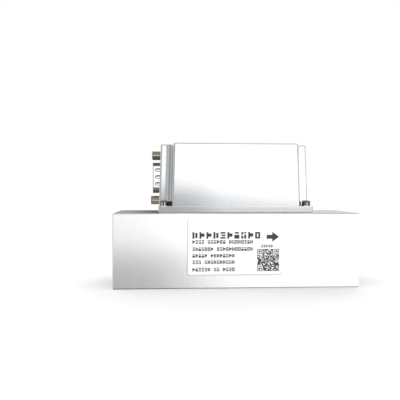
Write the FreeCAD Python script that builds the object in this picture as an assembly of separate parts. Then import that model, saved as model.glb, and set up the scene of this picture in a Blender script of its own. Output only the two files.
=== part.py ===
import FreeCAD, Part
import math
import os

# Thermal gas mass flow meter: a square flow body with a threaded port at each end, a die-cast
# electronics housing screwed on top and a nine-way plug connector in the housing's left end.
# Millimetres. X runs along the flow from inlet to outlet, Y runs from the label face to the back,
# Z is up, and the origin is the centre of the flow body's base.

# Flow body
body_length = 132.0
body_depth = 40.0
body_height = 40.0
body_edge_chamfer = 0.5
passage_diameter = 20.0
pocket_diameter = 23.5
port_diameter = 24.4
port_depth = 16.0
port_mouth_diameter = 27.0
base_hole_spacing_x = 100.0
base_hole_spacing_y = 28.0
base_thread_diameter = 4.0
base_hole_depth = 8.0
drill_point_angle = 120.0

# Flow conditioner, stacked in the inlet pocket behind the retaining ring
ring_land = 3.0
ring_thickness = 1.2
ring_groove_depth = 0.75
ring_width = 2.1
ring_narrow_width = 1.5
ring_lug_diameter = 4.2
ring_lug_hole = 1.6
ring_lug_angle = 14.0
ring_lug_overlap = 0.6
screen_thickness = 0.4
screen_rim = 1.3
screen_hole = 1.7
screen_bar = 0.5
spacer_length = 8.0
spacer_wall = 1.4
straightener_length = 14.0
straightener_wall = 0.7
cell_across_flats = 3.2
cell_web = 0.4

# Sensor probe in the top wall of the passage
sensor_position = 8.0
plug_diameter = 14.0
flange_length = 30.0
flange_width = 16.0
flange_thickness = 3.0
flange_corner_radius = 4.0
blade_chord = 9.0
blade_thickness = 2.0
blade_edge_radius = 0.95
blade_reach = 3.5
chip_size = 3.0
chip_thickness = 0.4
oring_groove_depth = 1.7
oring_groove_width = 2.4
oring_groove_drop = 4.6
sensor_screw_spacing = 22.0
sensor_thread_diameter = 2.5
sensor_hole_depth = 7.0
sensor_screw_length = 13.0
sensor_head_diameter = 4.5
sensor_head_height = 1.6
sensor_key_size = 1.5
board_spacer_diameter = 4.6
board_spacer_height = 3.5

# Sensor board and the plug-in link to the main board
sensor_board_length = 30.0
sensor_board_width = 22.0
sensor_board_thickness = 1.2
sensor_board_corner_radius = 1.0
header_hole_diameter = 0.96
probe_pin_count = 6
probe_pin_pitch = 2.0
probe_pin_diameter = 0.6
probe_pin_row = -4.0
header_pin_count = 6
header_pitch = 2.54
header_pin_width = 0.64
header_base_height = 2.5
header_cell_bevel = 0.42
header_pin_rise = 5.8
socket_height = 8.5
pin_tail = 0.8

# Housing
housing_length = 82.6
housing_offset = -0.75
housing_height = 36.7
housing_wall = 2.2
housing_roof = 2.2
housing_draft = 1.7
housing_flange = 3.1
housing_corner_radius = 1.0
housing_top_radius = 0.7
notch_width = 7.15
end_wall_width = 18.6
notch_radius = 4.2
gasket_thickness = 0.5
gasket_inset = 0.6
housing_screw_inset_x = 2.9
housing_screw_inset_y = 4.0
housing_thread_diameter = 2.5
housing_screw_length = 10.0
housing_head_diameter = 4.5
housing_head_height = 2.5
housing_key_size = 2.0
housing_washer_diameter = 5.0
housing_washer_thickness = 0.5
rib_depth = 3.0
rib_thickness = 1.6

# Nine-way plug connector in the housing's left end
connector_rise = 19.0
connector_seat_wall = 2.0
shell_length = 16.92
shell_width = 8.36
shell_slant = 10.0
shell_corner_radius = 2.4
shell_wall = 0.45
shell_reach = 5.9
shell_flange_length = 30.8
shell_flange_width = 12.5
shell_flange_thickness = 0.5
shell_flange_corner_radius = 1.2
dimple_count = 5
dimple_pitch = 1.95
dimple_radius = 0.8
dimple_depth = 0.3
dimple_drop = 3.0
rear_cup_length = 19.2
rear_cup_width = 10.8
rear_cup_depth = 4.0
rear_cup_corner_radius = 1.5
insulator_rear_depth = 5.5
contact_pitch = 2.77
contact_row_gap = 2.84
contact_diameter = 1.0
contact_reach = 5.2
contact_tail = 4.5
jackscrew_spacing = 25.0
jackscrew_hex = 4.75
jackscrew_height = 4.8
jackscrew_bevel = 0.35
jackscrew_stud_diameter = 2.8
jackscrew_stud_length = 6.6
jackscrew_thread_depth = 4.2
jackscrew_washer_thickness = 0.6
jackscrew_washer_diameter = 4.8
jackscrew_washer_slit = 0.4
jackscrew_nut_height = 1.6

# Main board, and its parts with their places from the board's lower left corner
board_thickness = 1.6
board_height = 22.0
board_lift = 3.3
board_edge_gap = 0.4
lead_width = 0.4
lead_reach = 1.0
lead_thickness = 0.25
lead_stand_off = 0.1
processor_place = (48.0, 10.0)
processor_size = 7.0
processor_height = 1.4
processor_side_lead_count = 8
processor_lead_pitch = 0.8
amplifier_places = ((60.0, 6.0), (60.0, 15.0))
amplifier_length = 5.0
amplifier_width = 4.0
amplifier_height = 1.5
amplifier_side_lead_count = 4
amplifier_lead_pitch = 1.27
regulator_place = (8.0, 12.0)
regulator_length = 6.5
regulator_width = 6.0
regulator_height = 2.3
regulator_tab_length = 5.5
regulator_tab_reach = 1.8
regulator_leg_spacing = 4.6
regulator_leg_width = 0.9
regulator_leg_reach = 2.0
regulator_metal = 0.5
inductor_place = (18.0, 12.0)
inductor_size = 7.0
inductor_height = 3.5
inductor_corner_radius = 1.2
inductor_core_diameter = 5.2
inductor_core_rise = 0.3
capacitor_places = ((28.0, 12.0), (37.0, 12.0))
capacitor_diameter = 6.3
capacitor_height = 5.6
capacitor_base_size = 6.6
capacitor_base_height = 1.0
capacitor_base_corner_radius = 0.7
capacitor_rim_radius = 0.4
crystal_place = (48.0, 18.6)
crystal_length = 11.0
crystal_width = 4.4
crystal_height = 3.4
crystal_corner_radius = 2.1
chip_part_start = (6.0, 2.2)
chip_part_column_count = 11
chip_part_row_count = 2
chip_part_step = (3.0, 2.2)
chip_part_length = 2.0
chip_part_width = 1.2
chip_part_height = 0.7

# Label on the front face
label_length = 50.0
label_height = 30.0
label_thickness = 0.15
label_corner_radius = 1.4
label_left = 39.3
label_base = 7.2

# Clearances: a slip fit a side, a thread drawn plain at its outer diameter, a screw hole a side,
# a sheet opening a side and the mouth of an opening for the connector
slip_gap = 0.05
thread_gap = 0.05
screw_gap = 0.2
opening_gap = 0.4

# Places worked out from the sizes above
inlet_x = -body_length / 2
outlet_x = body_length / 2
front_y = -body_depth / 2
bore_z = body_height / 2
ring_x = inlet_x + port_depth + ring_land
inlet_screen_x = ring_x + ring_thickness
spacer_x = inlet_screen_x + screen_thickness
straightener_x = spacer_x + spacer_length
settling_screen_x = straightener_x + straightener_length
shoulder_x = settling_screen_x + screen_thickness
insert_radius = pocket_diameter / 2 - slip_gap
flange_top = body_height + flange_thickness
sensor_board_z = flange_top + board_spacer_height
sensor_board_top = sensor_board_z + sensor_board_thickness
socket_z = sensor_board_top + header_base_height
header_y = board_thickness / 2 + header_pitch / 2
housing_base = body_height + gasket_thickness
housing_flange_top = housing_base + housing_flange
housing_top = housing_base + housing_height
cavity_top = housing_top - housing_roof
draft_slope = math.tan(math.radians(housing_draft))
notch_depth = (body_depth - end_wall_width) / 2
housing_left = housing_offset - housing_length / 2
connector_z = body_height + connector_rise
seat_x = housing_left + (connector_z - housing_flange_top) * draft_slope + connector_seat_wall
shell_flange_back = seat_x + shell_flange_thickness
rear_flange_back = shell_flange_back + shell_flange_thickness
insulator_back = rear_flange_back + insulator_rear_depth
board_bottom = sensor_board_top + board_lift
board_left = insulator_back + board_edge_gap
cavity_right = housing_offset + housing_length / 2 - housing_wall
rib_right = cavity_right - (board_bottom + board_height - housing_base) * draft_slope
board_right = rib_right - board_edge_gap


def vector(x, y, z):
    return FreeCAD.Vector(x, y, z)


def block(low, high):
    """Box between two opposite corners."""
    size = high - low
    return Part.makeBox(size.x, size.y, size.z, low)


def rod(diameter, start, direction, length):
    """Cylinder from a start point along a direction."""
    return Part.makeCylinder(diameter / 2, length, start, direction)


def ring(outer, inner, start, direction, length):
    """Round tube from a start point along a direction."""
    return rod(outer, start, direction, length).cut(rod(inner, start, direction, length))


def rounded_wire(corners):
    """Closed flat outline through (point, radius) corners, each rounded by its own radius."""
    arcs = []
    for index, (point, radius) in enumerate(corners):
        before = (corners[index - 1][0] - point).normalize()
        after = (corners[(index + 1) % len(corners)][0] - point).normalize()
        half_angle = before.getAngle(after) / 2
        run = radius / math.tan(half_angle)
        middle = (before + after).normalize()
        centre = point + middle * (radius / math.sin(half_angle))
        arcs.append((point + before * run, centre - middle * radius, point + after * run))
    edges = []
    for index, (start, middle, end) in enumerate(arcs):
        next_start = arcs[(index + 1) % len(arcs)][0]
        if (end - start).Length > 1e-6:
            edges.append(Part.Arc(start, middle, end).toShape())
        if (next_start - end).Length > 1e-6:
            edges.append(Part.makeLine(end, next_start))
    return Part.Wire(edges)


def prism(wire, direction):
    """Solid swept from a flat outline along a straight direction."""
    return Part.Face(wire).extrude(direction)


def rectangle_wire(centre, along, across, length, width, radius):
    """Rounded rectangle centred on a point, with its sides along two unit vectors."""
    corners = []
    for side, end in ((-1, -1), (1, -1), (1, 1), (-1, 1)):
        point = centre + along * (side * length / 2) + across * (end * width / 2)
        corners.append((point, radius))
    return rounded_wire(corners)


def hexagon_corner(across_flats):
    """Distance from a hexagon's centre to its corners."""
    return across_flats / 2 / math.cos(math.pi / 6)


def hexagon_prism(across_flats, start, direction, length):
    """Hexagonal bar with two flats facing up and down in its own plane."""
    radius = hexagon_corner(across_flats)
    side = vector(0, 1, 0) if abs(direction.y) < 0.5 else vector(1, 0, 0)
    up = direction.cross(side)
    points = []
    for step in range(6):
        angle = math.radians(60 * step)
        points.append(start + side * (radius * math.cos(angle)) + up * (radius * math.sin(angle)))
    return prism(Part.makePolygon(points + points[:1]), direction * length)


def copies(shape, points):
    """The same shape set down at each point, as separate solids."""
    placed = []
    for point in points:
        twin = shape.copy()
        twin.translate(point)
        placed.append(twin)
    return placed


def write(node, shape):
    shape.exportStep("parts/" + node + ".step")


along_x = vector(1, 0, 0)
along_y = vector(0, 1, 0)
up_z = vector(0, 0, 1)
down_z = vector(0, 0, -1)


def housing_screw_points(z):
    """The four screw axes, one in each corner notch of the housing."""
    reach_x = housing_length / 2 - housing_screw_inset_x
    reach_y = body_depth / 2 - housing_screw_inset_y
    return [vector(housing_offset + sx * reach_x, sy * reach_y, z) for sx in (-1, 1) for sy in (-1, 1)]


def sensor_screw_points(z):
    """The two screw axes through the probe's flange."""
    half = sensor_screw_spacing / 2
    return [vector(sensor_position + side * half, 0, z) for side in (-1, 1)]


def jackscrew_points(x):
    """The two fixing axes of the connector, one above the other."""
    half = jackscrew_spacing / 2
    return [vector(x, 0, connector_z + side * half) for side in (-1, 1)]


def flow_body():
    """Square bar bored end to end, with threaded ports, an inlet pocket and tapped holes."""
    low = vector(inlet_x, front_y, 0)
    high = vector(outlet_x, -front_y, body_height)
    solid = block(low, high)
    solid = solid.makeChamfer(body_edge_chamfer, solid.Edges)
    inlet = vector(inlet_x, 0, bore_z)
    cuts = [rod(passage_diameter, inlet, along_x, body_length)]
    cuts.append(rod(pocket_diameter, inlet, along_x, shoulder_x - inlet_x))
    groove_start = vector(ring_x - slip_gap, 0, bore_z)
    groove_width = ring_thickness + 2 * slip_gap
    cuts.append(rod(pocket_diameter + 2 * ring_groove_depth, groove_start, along_x, groove_width))
    for mouth_x, inward in ((inlet_x, 1), (outlet_x, -1)):
        mouth = vector(mouth_x, 0, bore_z)
        inward_x = vector(inward, 0, 0)
        cuts.append(rod(port_diameter, mouth, inward_x, port_depth))
        flare = (port_mouth_diameter - port_diameter) / 2
        cuts.append(Part.makeCone(port_mouth_diameter / 2, port_diameter / 2, flare, mouth, inward_x))
    top = vector(sensor_position, 0, body_height)
    cuts.append(rod(plug_diameter, top, down_z, body_height - bore_z))
    cuts += [tapped_hole(sensor_thread_diameter, point, down_z, sensor_hole_depth)
             for point in sensor_screw_points(body_height)]
    engaged = housing_screw_length - housing_flange - gasket_thickness - housing_washer_thickness
    cuts += [tapped_hole(housing_thread_diameter, point, down_z, engaged + housing_thread_diameter)
             for point in housing_screw_points(body_height)]
    for sx in (-1, 1):
        for sy in (-1, 1):
            foot = vector(sx * base_hole_spacing_x / 2, sy * base_hole_spacing_y / 2, 0)
            cuts.append(tapped_hole(base_thread_diameter, foot, up_z, base_hole_depth))
    return solid.cut(cuts)


def tapped_hole(diameter, mouth, direction, depth):
    """Blind hole for a screw of this diameter, with the drill's cone at its bottom."""
    radius = diameter / 2 + thread_gap
    hole = Part.makeCylinder(radius, depth, mouth, direction)
    tip_depth = radius / math.tan(math.radians(drill_point_angle / 2))
    tip = Part.makeCone(radius, 0, tip_depth, mouth + direction * depth, direction)
    return hole.fuse(tip).removeSplitter()


def retaining_ring():
    """Internal spring ring with an offset inner edge, two lugs and a gap for pliers."""
    centre = vector(ring_x, 0, bore_z)
    outer = pocket_diameter / 2 + ring_groove_depth - slip_gap
    inner = outer - (ring_width + ring_narrow_width) / 2
    offset = (ring_width - ring_narrow_width) / 2
    solid = rod(2 * outer, centre, along_x, ring_thickness)
    solid = solid.cut(rod(2 * inner, centre + vector(0, 0, offset), along_x, ring_thickness))
    lug_radius = insert_radius - ring_lug_diameter / 2 - slip_gap
    holes = []
    for side in (-1, 1):
        angle = math.radians(ring_lug_angle) * side
        lug = centre + vector(0, lug_radius * math.sin(angle), lug_radius * math.cos(angle))
        solid = solid.fuse(rod(ring_lug_diameter, lug, along_x, ring_thickness))
        holes.append(rod(ring_lug_hole, lug, along_x, ring_thickness))
    lug_inner_side = lug_radius * math.sin(math.radians(ring_lug_angle)) - ring_lug_diameter / 2
    gap_half = lug_inner_side + ring_lug_overlap
    gap_low = centre + vector(0, -gap_half, inner / 2)
    gap_high = centre + vector(ring_thickness, gap_half, 2 * outer)
    return solid.cut(holes + [block(gap_low, gap_high)]).removeSplitter()


def mesh_screen(x):
    """Round screen: a plain rim and a square grid of openings inside it."""
    centre = vector(x, 0, bore_z)
    pitch = screen_hole + screen_bar
    reach = insert_radius - screen_rim
    steps = int(reach / pitch) + 1
    holes = []
    for row in range(-steps, steps + 1):
        for column in range(-steps, steps + 1):
            y, z = column * pitch, row * pitch
            far_corner = math.hypot(abs(y) + screen_hole / 2, abs(z) + screen_hole / 2)
            if far_corner < reach:
                low = centre + vector(0, y - screen_hole / 2, z - screen_hole / 2)
                high = low + vector(screen_thickness, screen_hole, screen_hole)
                holes.append(block(low, high))
    return rod(2 * insert_radius, centre, along_x, screen_thickness).cut(holes)


def screen_spacer():
    """Plain ring that keeps the inlet screen off the straightener."""
    inner = 2 * (insert_radius - spacer_wall)
    return ring(2 * insert_radius, inner, vector(spacer_x, 0, bore_z), along_x, spacer_length)


def flow_straightener():
    """Honeycomb of long hexagonal cells inside a thin round wall."""
    start = vector(straightener_x, 0, bore_z)
    solid = rod(2 * insert_radius, start, along_x, straightener_length)
    clear = rod(2 * (insert_radius - straightener_wall), start, along_x, straightener_length)
    pitch = cell_across_flats + cell_web
    rise = pitch * math.cos(math.pi / 6)
    corner = hexagon_corner(cell_across_flats)
    reach = insert_radius - straightener_wall
    rows = int(reach / rise) + 1
    columns = int(reach / pitch) + 1
    whole, cropped = [], []
    for row in range(-rows, rows + 1):
        for column in range(-columns, columns + 1):
            y = pitch * (column + (row % 2) / 2)
            z = rise * row
            distance = math.hypot(y, z)
            cell = honeycomb_cell(start + vector(0, y, z), corner)
            if distance + corner < reach:
                whole.append(cell)
            elif distance < reach:
                cropped.append(cell.common(clear))
    return solid.cut(whole + cropped)


def honeycomb_cell(start, corner_radius):
    """One cell as a bar, point up, so that its flats face the neighbours in its row."""
    points = []
    for step in range(6):
        angle = math.radians(60 * step + 30)
        points.append(start + vector(0, corner_radius * math.cos(angle), corner_radius * math.sin(angle)))
    return prism(Part.makePolygon(points + points[:1]), along_x * straightener_length)


def sensor_probe():
    """Moulded plug with a screwed flange, a ring groove and a blade that holds the chip mid-stream."""
    top = vector(sensor_position, 0, body_height)
    plate = prism(rectangle_wire(top, along_x, along_y, flange_length, flange_width, flange_corner_radius),
                  up_z * flange_thickness)
    plug = rod(plug_diameter - 2 * slip_gap, top, down_z, body_height - bore_z)
    passage = rod(passage_diameter, vector(inlet_x, 0, bore_z), along_x, body_length)
    plug = plug.cut(passage)
    groove_top = top - vector(0, 0, oring_groove_drop)
    groove = ring(2 * plug_diameter, plug_diameter - 2 * oring_groove_depth, groove_top, down_z,
                  oring_groove_width)
    blade_top = vector(sensor_position, 0, body_height)
    blade_length = body_height - bore_z + blade_reach
    blade = prism(rectangle_wire(blade_top, along_x, along_y, blade_chord, blade_thickness,
                                 blade_edge_radius), down_z * blade_length)
    solid = plate.fuse([plug.cut(groove), blade]).removeSplitter()
    pocket_size = chip_size + 2 * slip_gap
    pocket_low = vector(sensor_position - pocket_size / 2, -blade_thickness / 2, bore_z - pocket_size / 2)
    pocket = block(pocket_low, pocket_low + vector(pocket_size, chip_thickness + slip_gap, pocket_size))
    holes = [rod(sensor_thread_diameter + 2 * screw_gap, point, up_z, flange_thickness)
             for point in sensor_screw_points(body_height)]
    pin_holes = [rod(probe_pin_diameter, point, up_z, flange_thickness)
                 for point in probe_pin_points(body_height)]
    return solid.cut([pocket] + holes + pin_holes)


def probe_pin_points(z):
    """The row of contact pins that rise from the probe's flange."""
    first = -(probe_pin_count - 1) / 2
    return [vector(sensor_position + (first + step) * probe_pin_pitch, probe_pin_row, z)
            for step in range(probe_pin_count)]


def probe_pins():
    """Round pins moulded into the flange and soldered through the sensor board."""
    length = sensor_board_top + pin_tail - body_height
    pin = rod(probe_pin_diameter, vector(0, 0, 0), up_z, length)
    return Part.makeCompound(copies(pin, probe_pin_points(body_height)))


def sensor_chip():
    """Thin square chip with the heater and the two temperature sensors, flush in the blade."""
    low = vector(sensor_position - chip_size / 2, slip_gap - blade_thickness / 2, bore_z - chip_size / 2)
    return block(low, low + vector(chip_size, chip_thickness, chip_size))


def probe_oring():
    """Rubber ring that fills the plug's groove and seals against the body's hole."""
    hole_radius = plug_diameter / 2
    groove_radius = hole_radius - oring_groove_depth
    section = (hole_radius - groove_radius) / 2 - slip_gap / 2
    middle = (hole_radius + groove_radius) / 2
    height = body_height - oring_groove_drop - oring_groove_width / 2
    return Part.makeTorus(middle, section, vector(sensor_position, 0, height), up_z)


def board_spacers():
    """Two short tubes that hold the sensor board above the probe's flange."""
    hole = sensor_thread_diameter + 2 * screw_gap
    tube = ring(board_spacer_diameter, hole, vector(0, 0, 0), up_z, board_spacer_height)
    return Part.makeCompound(copies(tube, sensor_screw_points(flange_top)))


def sensor_board():
    """Small circuit board over the probe, holding the header that the main board plugs on to."""
    corner = vector(sensor_position, 0, sensor_board_z)
    wire = rectangle_wire(corner, along_x, along_y, sensor_board_length, sensor_board_width,
                          sensor_board_corner_radius)
    solid = prism(wire, up_z * sensor_board_thickness)
    holes = [rod(sensor_thread_diameter + 2 * screw_gap, point, up_z, sensor_board_thickness)
             for point in sensor_screw_points(sensor_board_z)]
    holes += [rod(probe_pin_diameter + 2 * slip_gap, point, up_z, sensor_board_thickness)
              for point in probe_pin_points(sensor_board_z)]
    for point in header_points(sensor_board_z):
        holes.append(rod(header_hole_diameter, point, up_z, sensor_board_thickness))
    return solid.cut(holes)


def sensor_screws():
    """Two low-head screws through sensor board, spacer and flange into the body."""
    return Part.makeCompound([
        cap_screw(point, sensor_thread_diameter, sensor_screw_length, sensor_head_diameter,
                  sensor_head_height, sensor_key_size)
        for point in sensor_screw_points(sensor_board_top)])


def cap_screw(seat, diameter, length, head_diameter, head_height, key_size):
    """Screw with a round head standing on its seat and a hexagon socket in the head."""
    head = rod(head_diameter, seat, up_z, head_height)
    rim = [edge for edge in head.Edges
           if edge.BoundBox.ZMin > seat.z + head_height / 2 and edge.BoundBox.ZLength < 1e-6]
    head = head.makeFillet(head_height / 8, rim)
    shank = rod(diameter, seat, down_z, length)
    socket_base = seat + up_z * (head_height / 2)
    socket = hexagon_prism(key_size, socket_base, up_z, head_height)
    return head.fuse(shank).removeSplitter().cut(socket)


def header_points(z):
    """The row of square pins between sensor board and main board."""
    first = -(header_pin_count - 1) / 2
    return [vector(sensor_position + (first + step) * header_pitch, header_y, z)
            for step in range(header_pin_count)]


def header_strip(z, height, hole_width):
    """Row of plastic cells with bevelled corners and a square hole for each pin."""
    cells = []
    for point in header_points(z):
        wire = chamfered_square(point, header_pitch, header_cell_bevel)
        cells.append(prism(wire, up_z * height))
    strip = cells[0].fuse(cells[1:]).removeSplitter()
    half = vector(hole_width / 2, hole_width / 2, 0)
    holes = [block(point - half, point + half + up_z * height) for point in header_points(z)]
    return strip.cut(holes)


def chamfered_square(centre, size, chamfer):
    """Square outline with its corners cut off, flat in the XY plane."""
    half = size / 2
    near = half - chamfer
    points = []
    for x, y in ((half, near), (near, half), (-near, half), (-half, near),
                 (-half, -near), (-near, -half), (near, -half), (half, -near)):
        points.append(centre + vector(x, y, 0))
    return Part.makePolygon(points + points[:1])


def header_base():
    """Plastic strip of the pin header, standing on the sensor board."""
    return header_strip(sensor_board_top, header_base_height, header_pin_width)


def header_pins():
    """Square pins through the sensor board, the strip and into the socket above it."""
    low = vector(-header_pin_width / 2, -header_pin_width / 2, sensor_board_z - pin_tail)
    high = vector(header_pin_width / 2, header_pin_width / 2, socket_z + header_pin_rise)
    return Part.makeCompound(copies(block(low, high), header_points(0)))


def board_socket():
    """Socket strip on the main board, pushed down over the header's pins."""
    return header_strip(socket_z, socket_height, header_pin_width + 2 * slip_gap)


def housing_outline(inset, z):
    """Outline of the housing above its flange, with a notch at each corner, at one height."""
    drop = max(z - housing_flange_top, 0) * draft_slope + inset
    reach_x = housing_length / 2 - drop
    reach_y = body_depth / 2 - drop
    corners = []
    for sx, sy in ((1, 1), (-1, 1), (-1, -1), (1, -1)):
        end = vector(housing_offset + sx * reach_x, sy * (reach_y - notch_depth), z)
        root = vector(housing_offset + sx * (reach_x - notch_width), sy * (reach_y - notch_depth), z)
        side = vector(housing_offset + sx * (reach_x - notch_width), sy * reach_y, z)
        quarter = [(end, housing_corner_radius), (root, notch_radius + inset),
                   (side, housing_corner_radius)]
        corners += quarter if sx == sy else quarter[::-1]
    return rounded_wire(corners)


def housing():
    """Die-cast box with drafted walls, four notches for its screws and a flange at its foot."""
    foot = vector(housing_offset, 0, housing_base)
    flange = prism(rectangle_wire(foot, along_x, along_y, housing_length, body_depth,
                                  housing_corner_radius), up_z * housing_flange)
    walls = Part.makeLoft([housing_outline(0, housing_flange_top), housing_outline(0, housing_top)],
                          True, True)
    rim = [edge for edge in walls.Edges if edge.BoundBox.ZMin > housing_top - 1e-6]
    walls = walls.makeFillet(housing_top_radius, rim)
    cavity = Part.makeLoft([housing_outline(housing_wall, housing_base),
                            housing_outline(housing_wall, cavity_top)], True, True)
    solid = flange.fuse(walls).removeSplitter().cut(cavity)
    solid = solid.fuse(guide_ribs() + [connector_seat()])
    return solid.cut(connector_openings() + flange_holes(housing_base, housing_flange)).removeSplitter()


def flange_holes(z, depth):
    """Clearance holes for the four housing screws through one layer."""
    return [rod(housing_thread_diameter + 2 * screw_gap, point, up_z, depth)
            for point in housing_screw_points(z)]


def guide_ribs():
    """Two upright ribs on the right end wall, with a slot between them for the board's edge."""
    ribs = []
    slot_half = board_thickness / 2 + slip_gap
    for side in (-1, 1):
        low_y = min(side * slot_half, side * (slot_half + rib_thickness))
        low = vector(rib_right - rib_depth, low_y, board_bottom)
        high = vector(cavity_right + housing_wall / 2, low_y + rib_thickness, cavity_top)
        ribs.append(block(low, high))
    return ribs


def connector_seat():
    """Upright pad on the drafted left end wall for the connector's flange."""
    half = shell_flange_width / 2 + opening_gap
    low = vector(housing_left + housing_wall / 2, -half, housing_flange_top)
    return block(low, vector(seat_x, half, cavity_top))


def connector_openings():
    """Room for the connector's flange, a slot for its shell, two screw holes and their flats."""
    half = shell_flange_width / 2 + opening_gap
    long_half = shell_flange_length / 2 + slip_gap
    low = vector(seat_x, -half, connector_z - long_half)
    cuts = [block(low, vector(seat_x + housing_wall, half, connector_z + long_half))]
    through = seat_x - housing_left + housing_wall
    wire = shell_outline(housing_left, opening_gap)
    cuts.append(prism(wire, along_x * through))
    for point in jackscrew_points(housing_left):
        cuts.append(rod(jackscrew_stud_diameter + 2 * screw_gap, point, along_x, through))
        cuts.append(rod(spot_diameter(), point, along_x, spot_x(point.z) - housing_left))
    return cuts


def spot_diameter():
    """Diameter of the machined flat that each jackscrew's hexagon stands on."""
    return 2 * (hexagon_corner(jackscrew_hex) + slip_gap)


def spot_x(z):
    """Depth of that flat: the drafted wall's surface at the flat's upper edge."""
    return housing_left + (z + spot_diameter() / 2 - housing_flange_top) * draft_slope


def housing_gasket():
    """Flat gasket between housing and flow body, set in a little from the outer edge."""
    foot = vector(housing_offset, 0, body_height)
    outer = rectangle_wire(foot, along_x, along_y, housing_length - 2 * gasket_inset,
                           body_depth - 2 * gasket_inset, housing_corner_radius)
    inner = housing_outline(housing_wall, body_height)
    solid = prism(outer, up_z * gasket_thickness).cut(prism(inner, up_z * gasket_thickness))
    return solid.cut(flange_holes(body_height, gasket_thickness))


def housing_screws():
    """Four socket screws that hold the housing down on the flow body."""
    seat = housing_flange_top + housing_washer_thickness
    return Part.makeCompound([
        cap_screw(point, housing_thread_diameter, housing_screw_length, housing_head_diameter,
                  housing_head_height, housing_key_size)
        for point in housing_screw_points(seat)])


def housing_washers():
    """Plain washers under the four housing screws."""
    hole = housing_thread_diameter + screw_gap
    washer = ring(housing_washer_diameter, hole, vector(0, 0, 0), up_z, housing_washer_thickness)
    return Part.makeCompound(copies(washer, housing_screw_points(housing_flange_top)))


def shell_outline(x, grow):
    """D-shaped outline of the connector's shell, its wide side to the front, grown a little."""
    half_wide = shell_length / 2 + grow
    half_deep = shell_width / 2 + grow
    half_narrow = half_wide - 2 * half_deep * math.tan(math.radians(shell_slant))
    radius = shell_corner_radius + grow
    corners = [(vector(x, -half_deep, connector_z - half_wide), radius),
               (vector(x, -half_deep, connector_z + half_wide), radius),
               (vector(x, half_deep, connector_z + half_narrow), radius),
               (vector(x, half_deep, connector_z - half_narrow), radius)]
    return rounded_wire(corners)


def shell_flange(x, thickness):
    """Upright plate with rounded corners and the two fixing holes of the connector."""
    centre = vector(x, 0, connector_z)
    plate = prism(rectangle_wire(centre, up_z, along_y, shell_flange_length, shell_flange_width,
                                 shell_flange_corner_radius), along_x * thickness)
    holes = [rod(jackscrew_stud_diameter + screw_gap, point, along_x, thickness)
             for point in jackscrew_points(x)]
    return plate.cut(holes)


def connector_shell():
    """Drawn steel shell: a flange behind the wall and a D-shaped shroud that reaches outside."""
    rim_x = seat_x - shell_reach
    depth = shell_reach + shell_flange_thickness
    flange = shell_flange(seat_x, shell_flange_thickness)
    shroud = prism(shell_outline(rim_x, 0), along_x * shell_reach)
    room = prism(shell_outline(rim_x, -shell_wall), along_x * depth)
    solid = flange.fuse(shroud).removeSplitter().cut(room)
    bumps, dents = [], []
    for point, outward in dimple_points():
        dents.append(Part.makeSphere(dimple_radius, point + outward * (dimple_radius - dimple_depth)))
        inside = point - outward * (shell_wall + dimple_depth - dimple_radius)
        bumps.append(Part.makeSphere(dimple_radius, inside).common(room))
    return solid.fuse(bumps).cut(dents)


def dimple_points():
    """Centres of the pressed grounding dimples, on both long sides of the shroud."""
    points = []
    for side in (-1, 1):
        outward = vector(0, side, 0)
        for step in range(dimple_count):
            along = (step - (dimple_count - 1) / 2) * dimple_pitch
            centre = vector(seat_x - dimple_drop, side * shell_width / 2, connector_z + along)
            points.append((centre, outward))
    return points


def rear_cup_outline(x, inset):
    """Rounded outline of the rear shell's cup, drawn in by an inset."""
    centre = vector(x, 0, connector_z)
    return rectangle_wire(centre, up_z, along_y, rear_cup_length - 2 * inset,
                          rear_cup_width - 2 * inset, rear_cup_corner_radius - inset)


def connector_rear_shell():
    """Second drawn shell, its flange against the first and its cup round the insulator."""
    flange = shell_flange(shell_flange_back, shell_flange_thickness)
    cup = rear_cup_outline(shell_flange_back, 0)
    room = rear_cup_outline(shell_flange_back, shell_wall)
    solid = flange.fuse(prism(cup, along_x * rear_cup_depth)).removeSplitter()
    return solid.cut(prism(room, along_x * rear_cup_depth))


def connector_insulator():
    """Moulded block that holds the contacts, clamped between the two shells."""
    face_x = seat_x - shell_flange_thickness
    nose = prism(shell_outline(face_x, -shell_wall - slip_gap), along_x * (shell_flange_back - face_x))
    body = prism(rear_cup_outline(shell_flange_back, shell_wall + slip_gap),
                 along_x * (insulator_back - shell_flange_back))
    holes = [rod(contact_diameter, point, along_x, insulator_back - face_x)
             for point in contact_points(face_x)]
    return nose.fuse(body).removeSplitter().cut(holes)


def contact_points(x):
    """Axes of the nine contacts: five on the wide side of the shell and four on the other."""
    points = []
    for count, side in ((5, -1), (4, 1)):
        for step in range(count):
            along = (step - (count - 1) / 2) * contact_pitch
            points.append(vector(x, side * contact_row_gap / 2, connector_z + along))
    return points


def connector_pins():
    """Nine round contacts with domed tips, their tails soldered on both faces of the board."""
    face_x = seat_x - shell_flange_thickness
    radius = contact_diameter / 2
    straight = contact_reach - radius
    pin_length = straight + insulator_back - face_x + contact_tail
    pin = rod(contact_diameter, vector(-straight, 0, 0), along_x, pin_length)
    pin = pin.fuse(Part.makeSphere(radius, vector(-straight, 0, 0))).removeSplitter()
    return Part.makeCompound(copies(pin, contact_points(face_x)))


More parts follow.
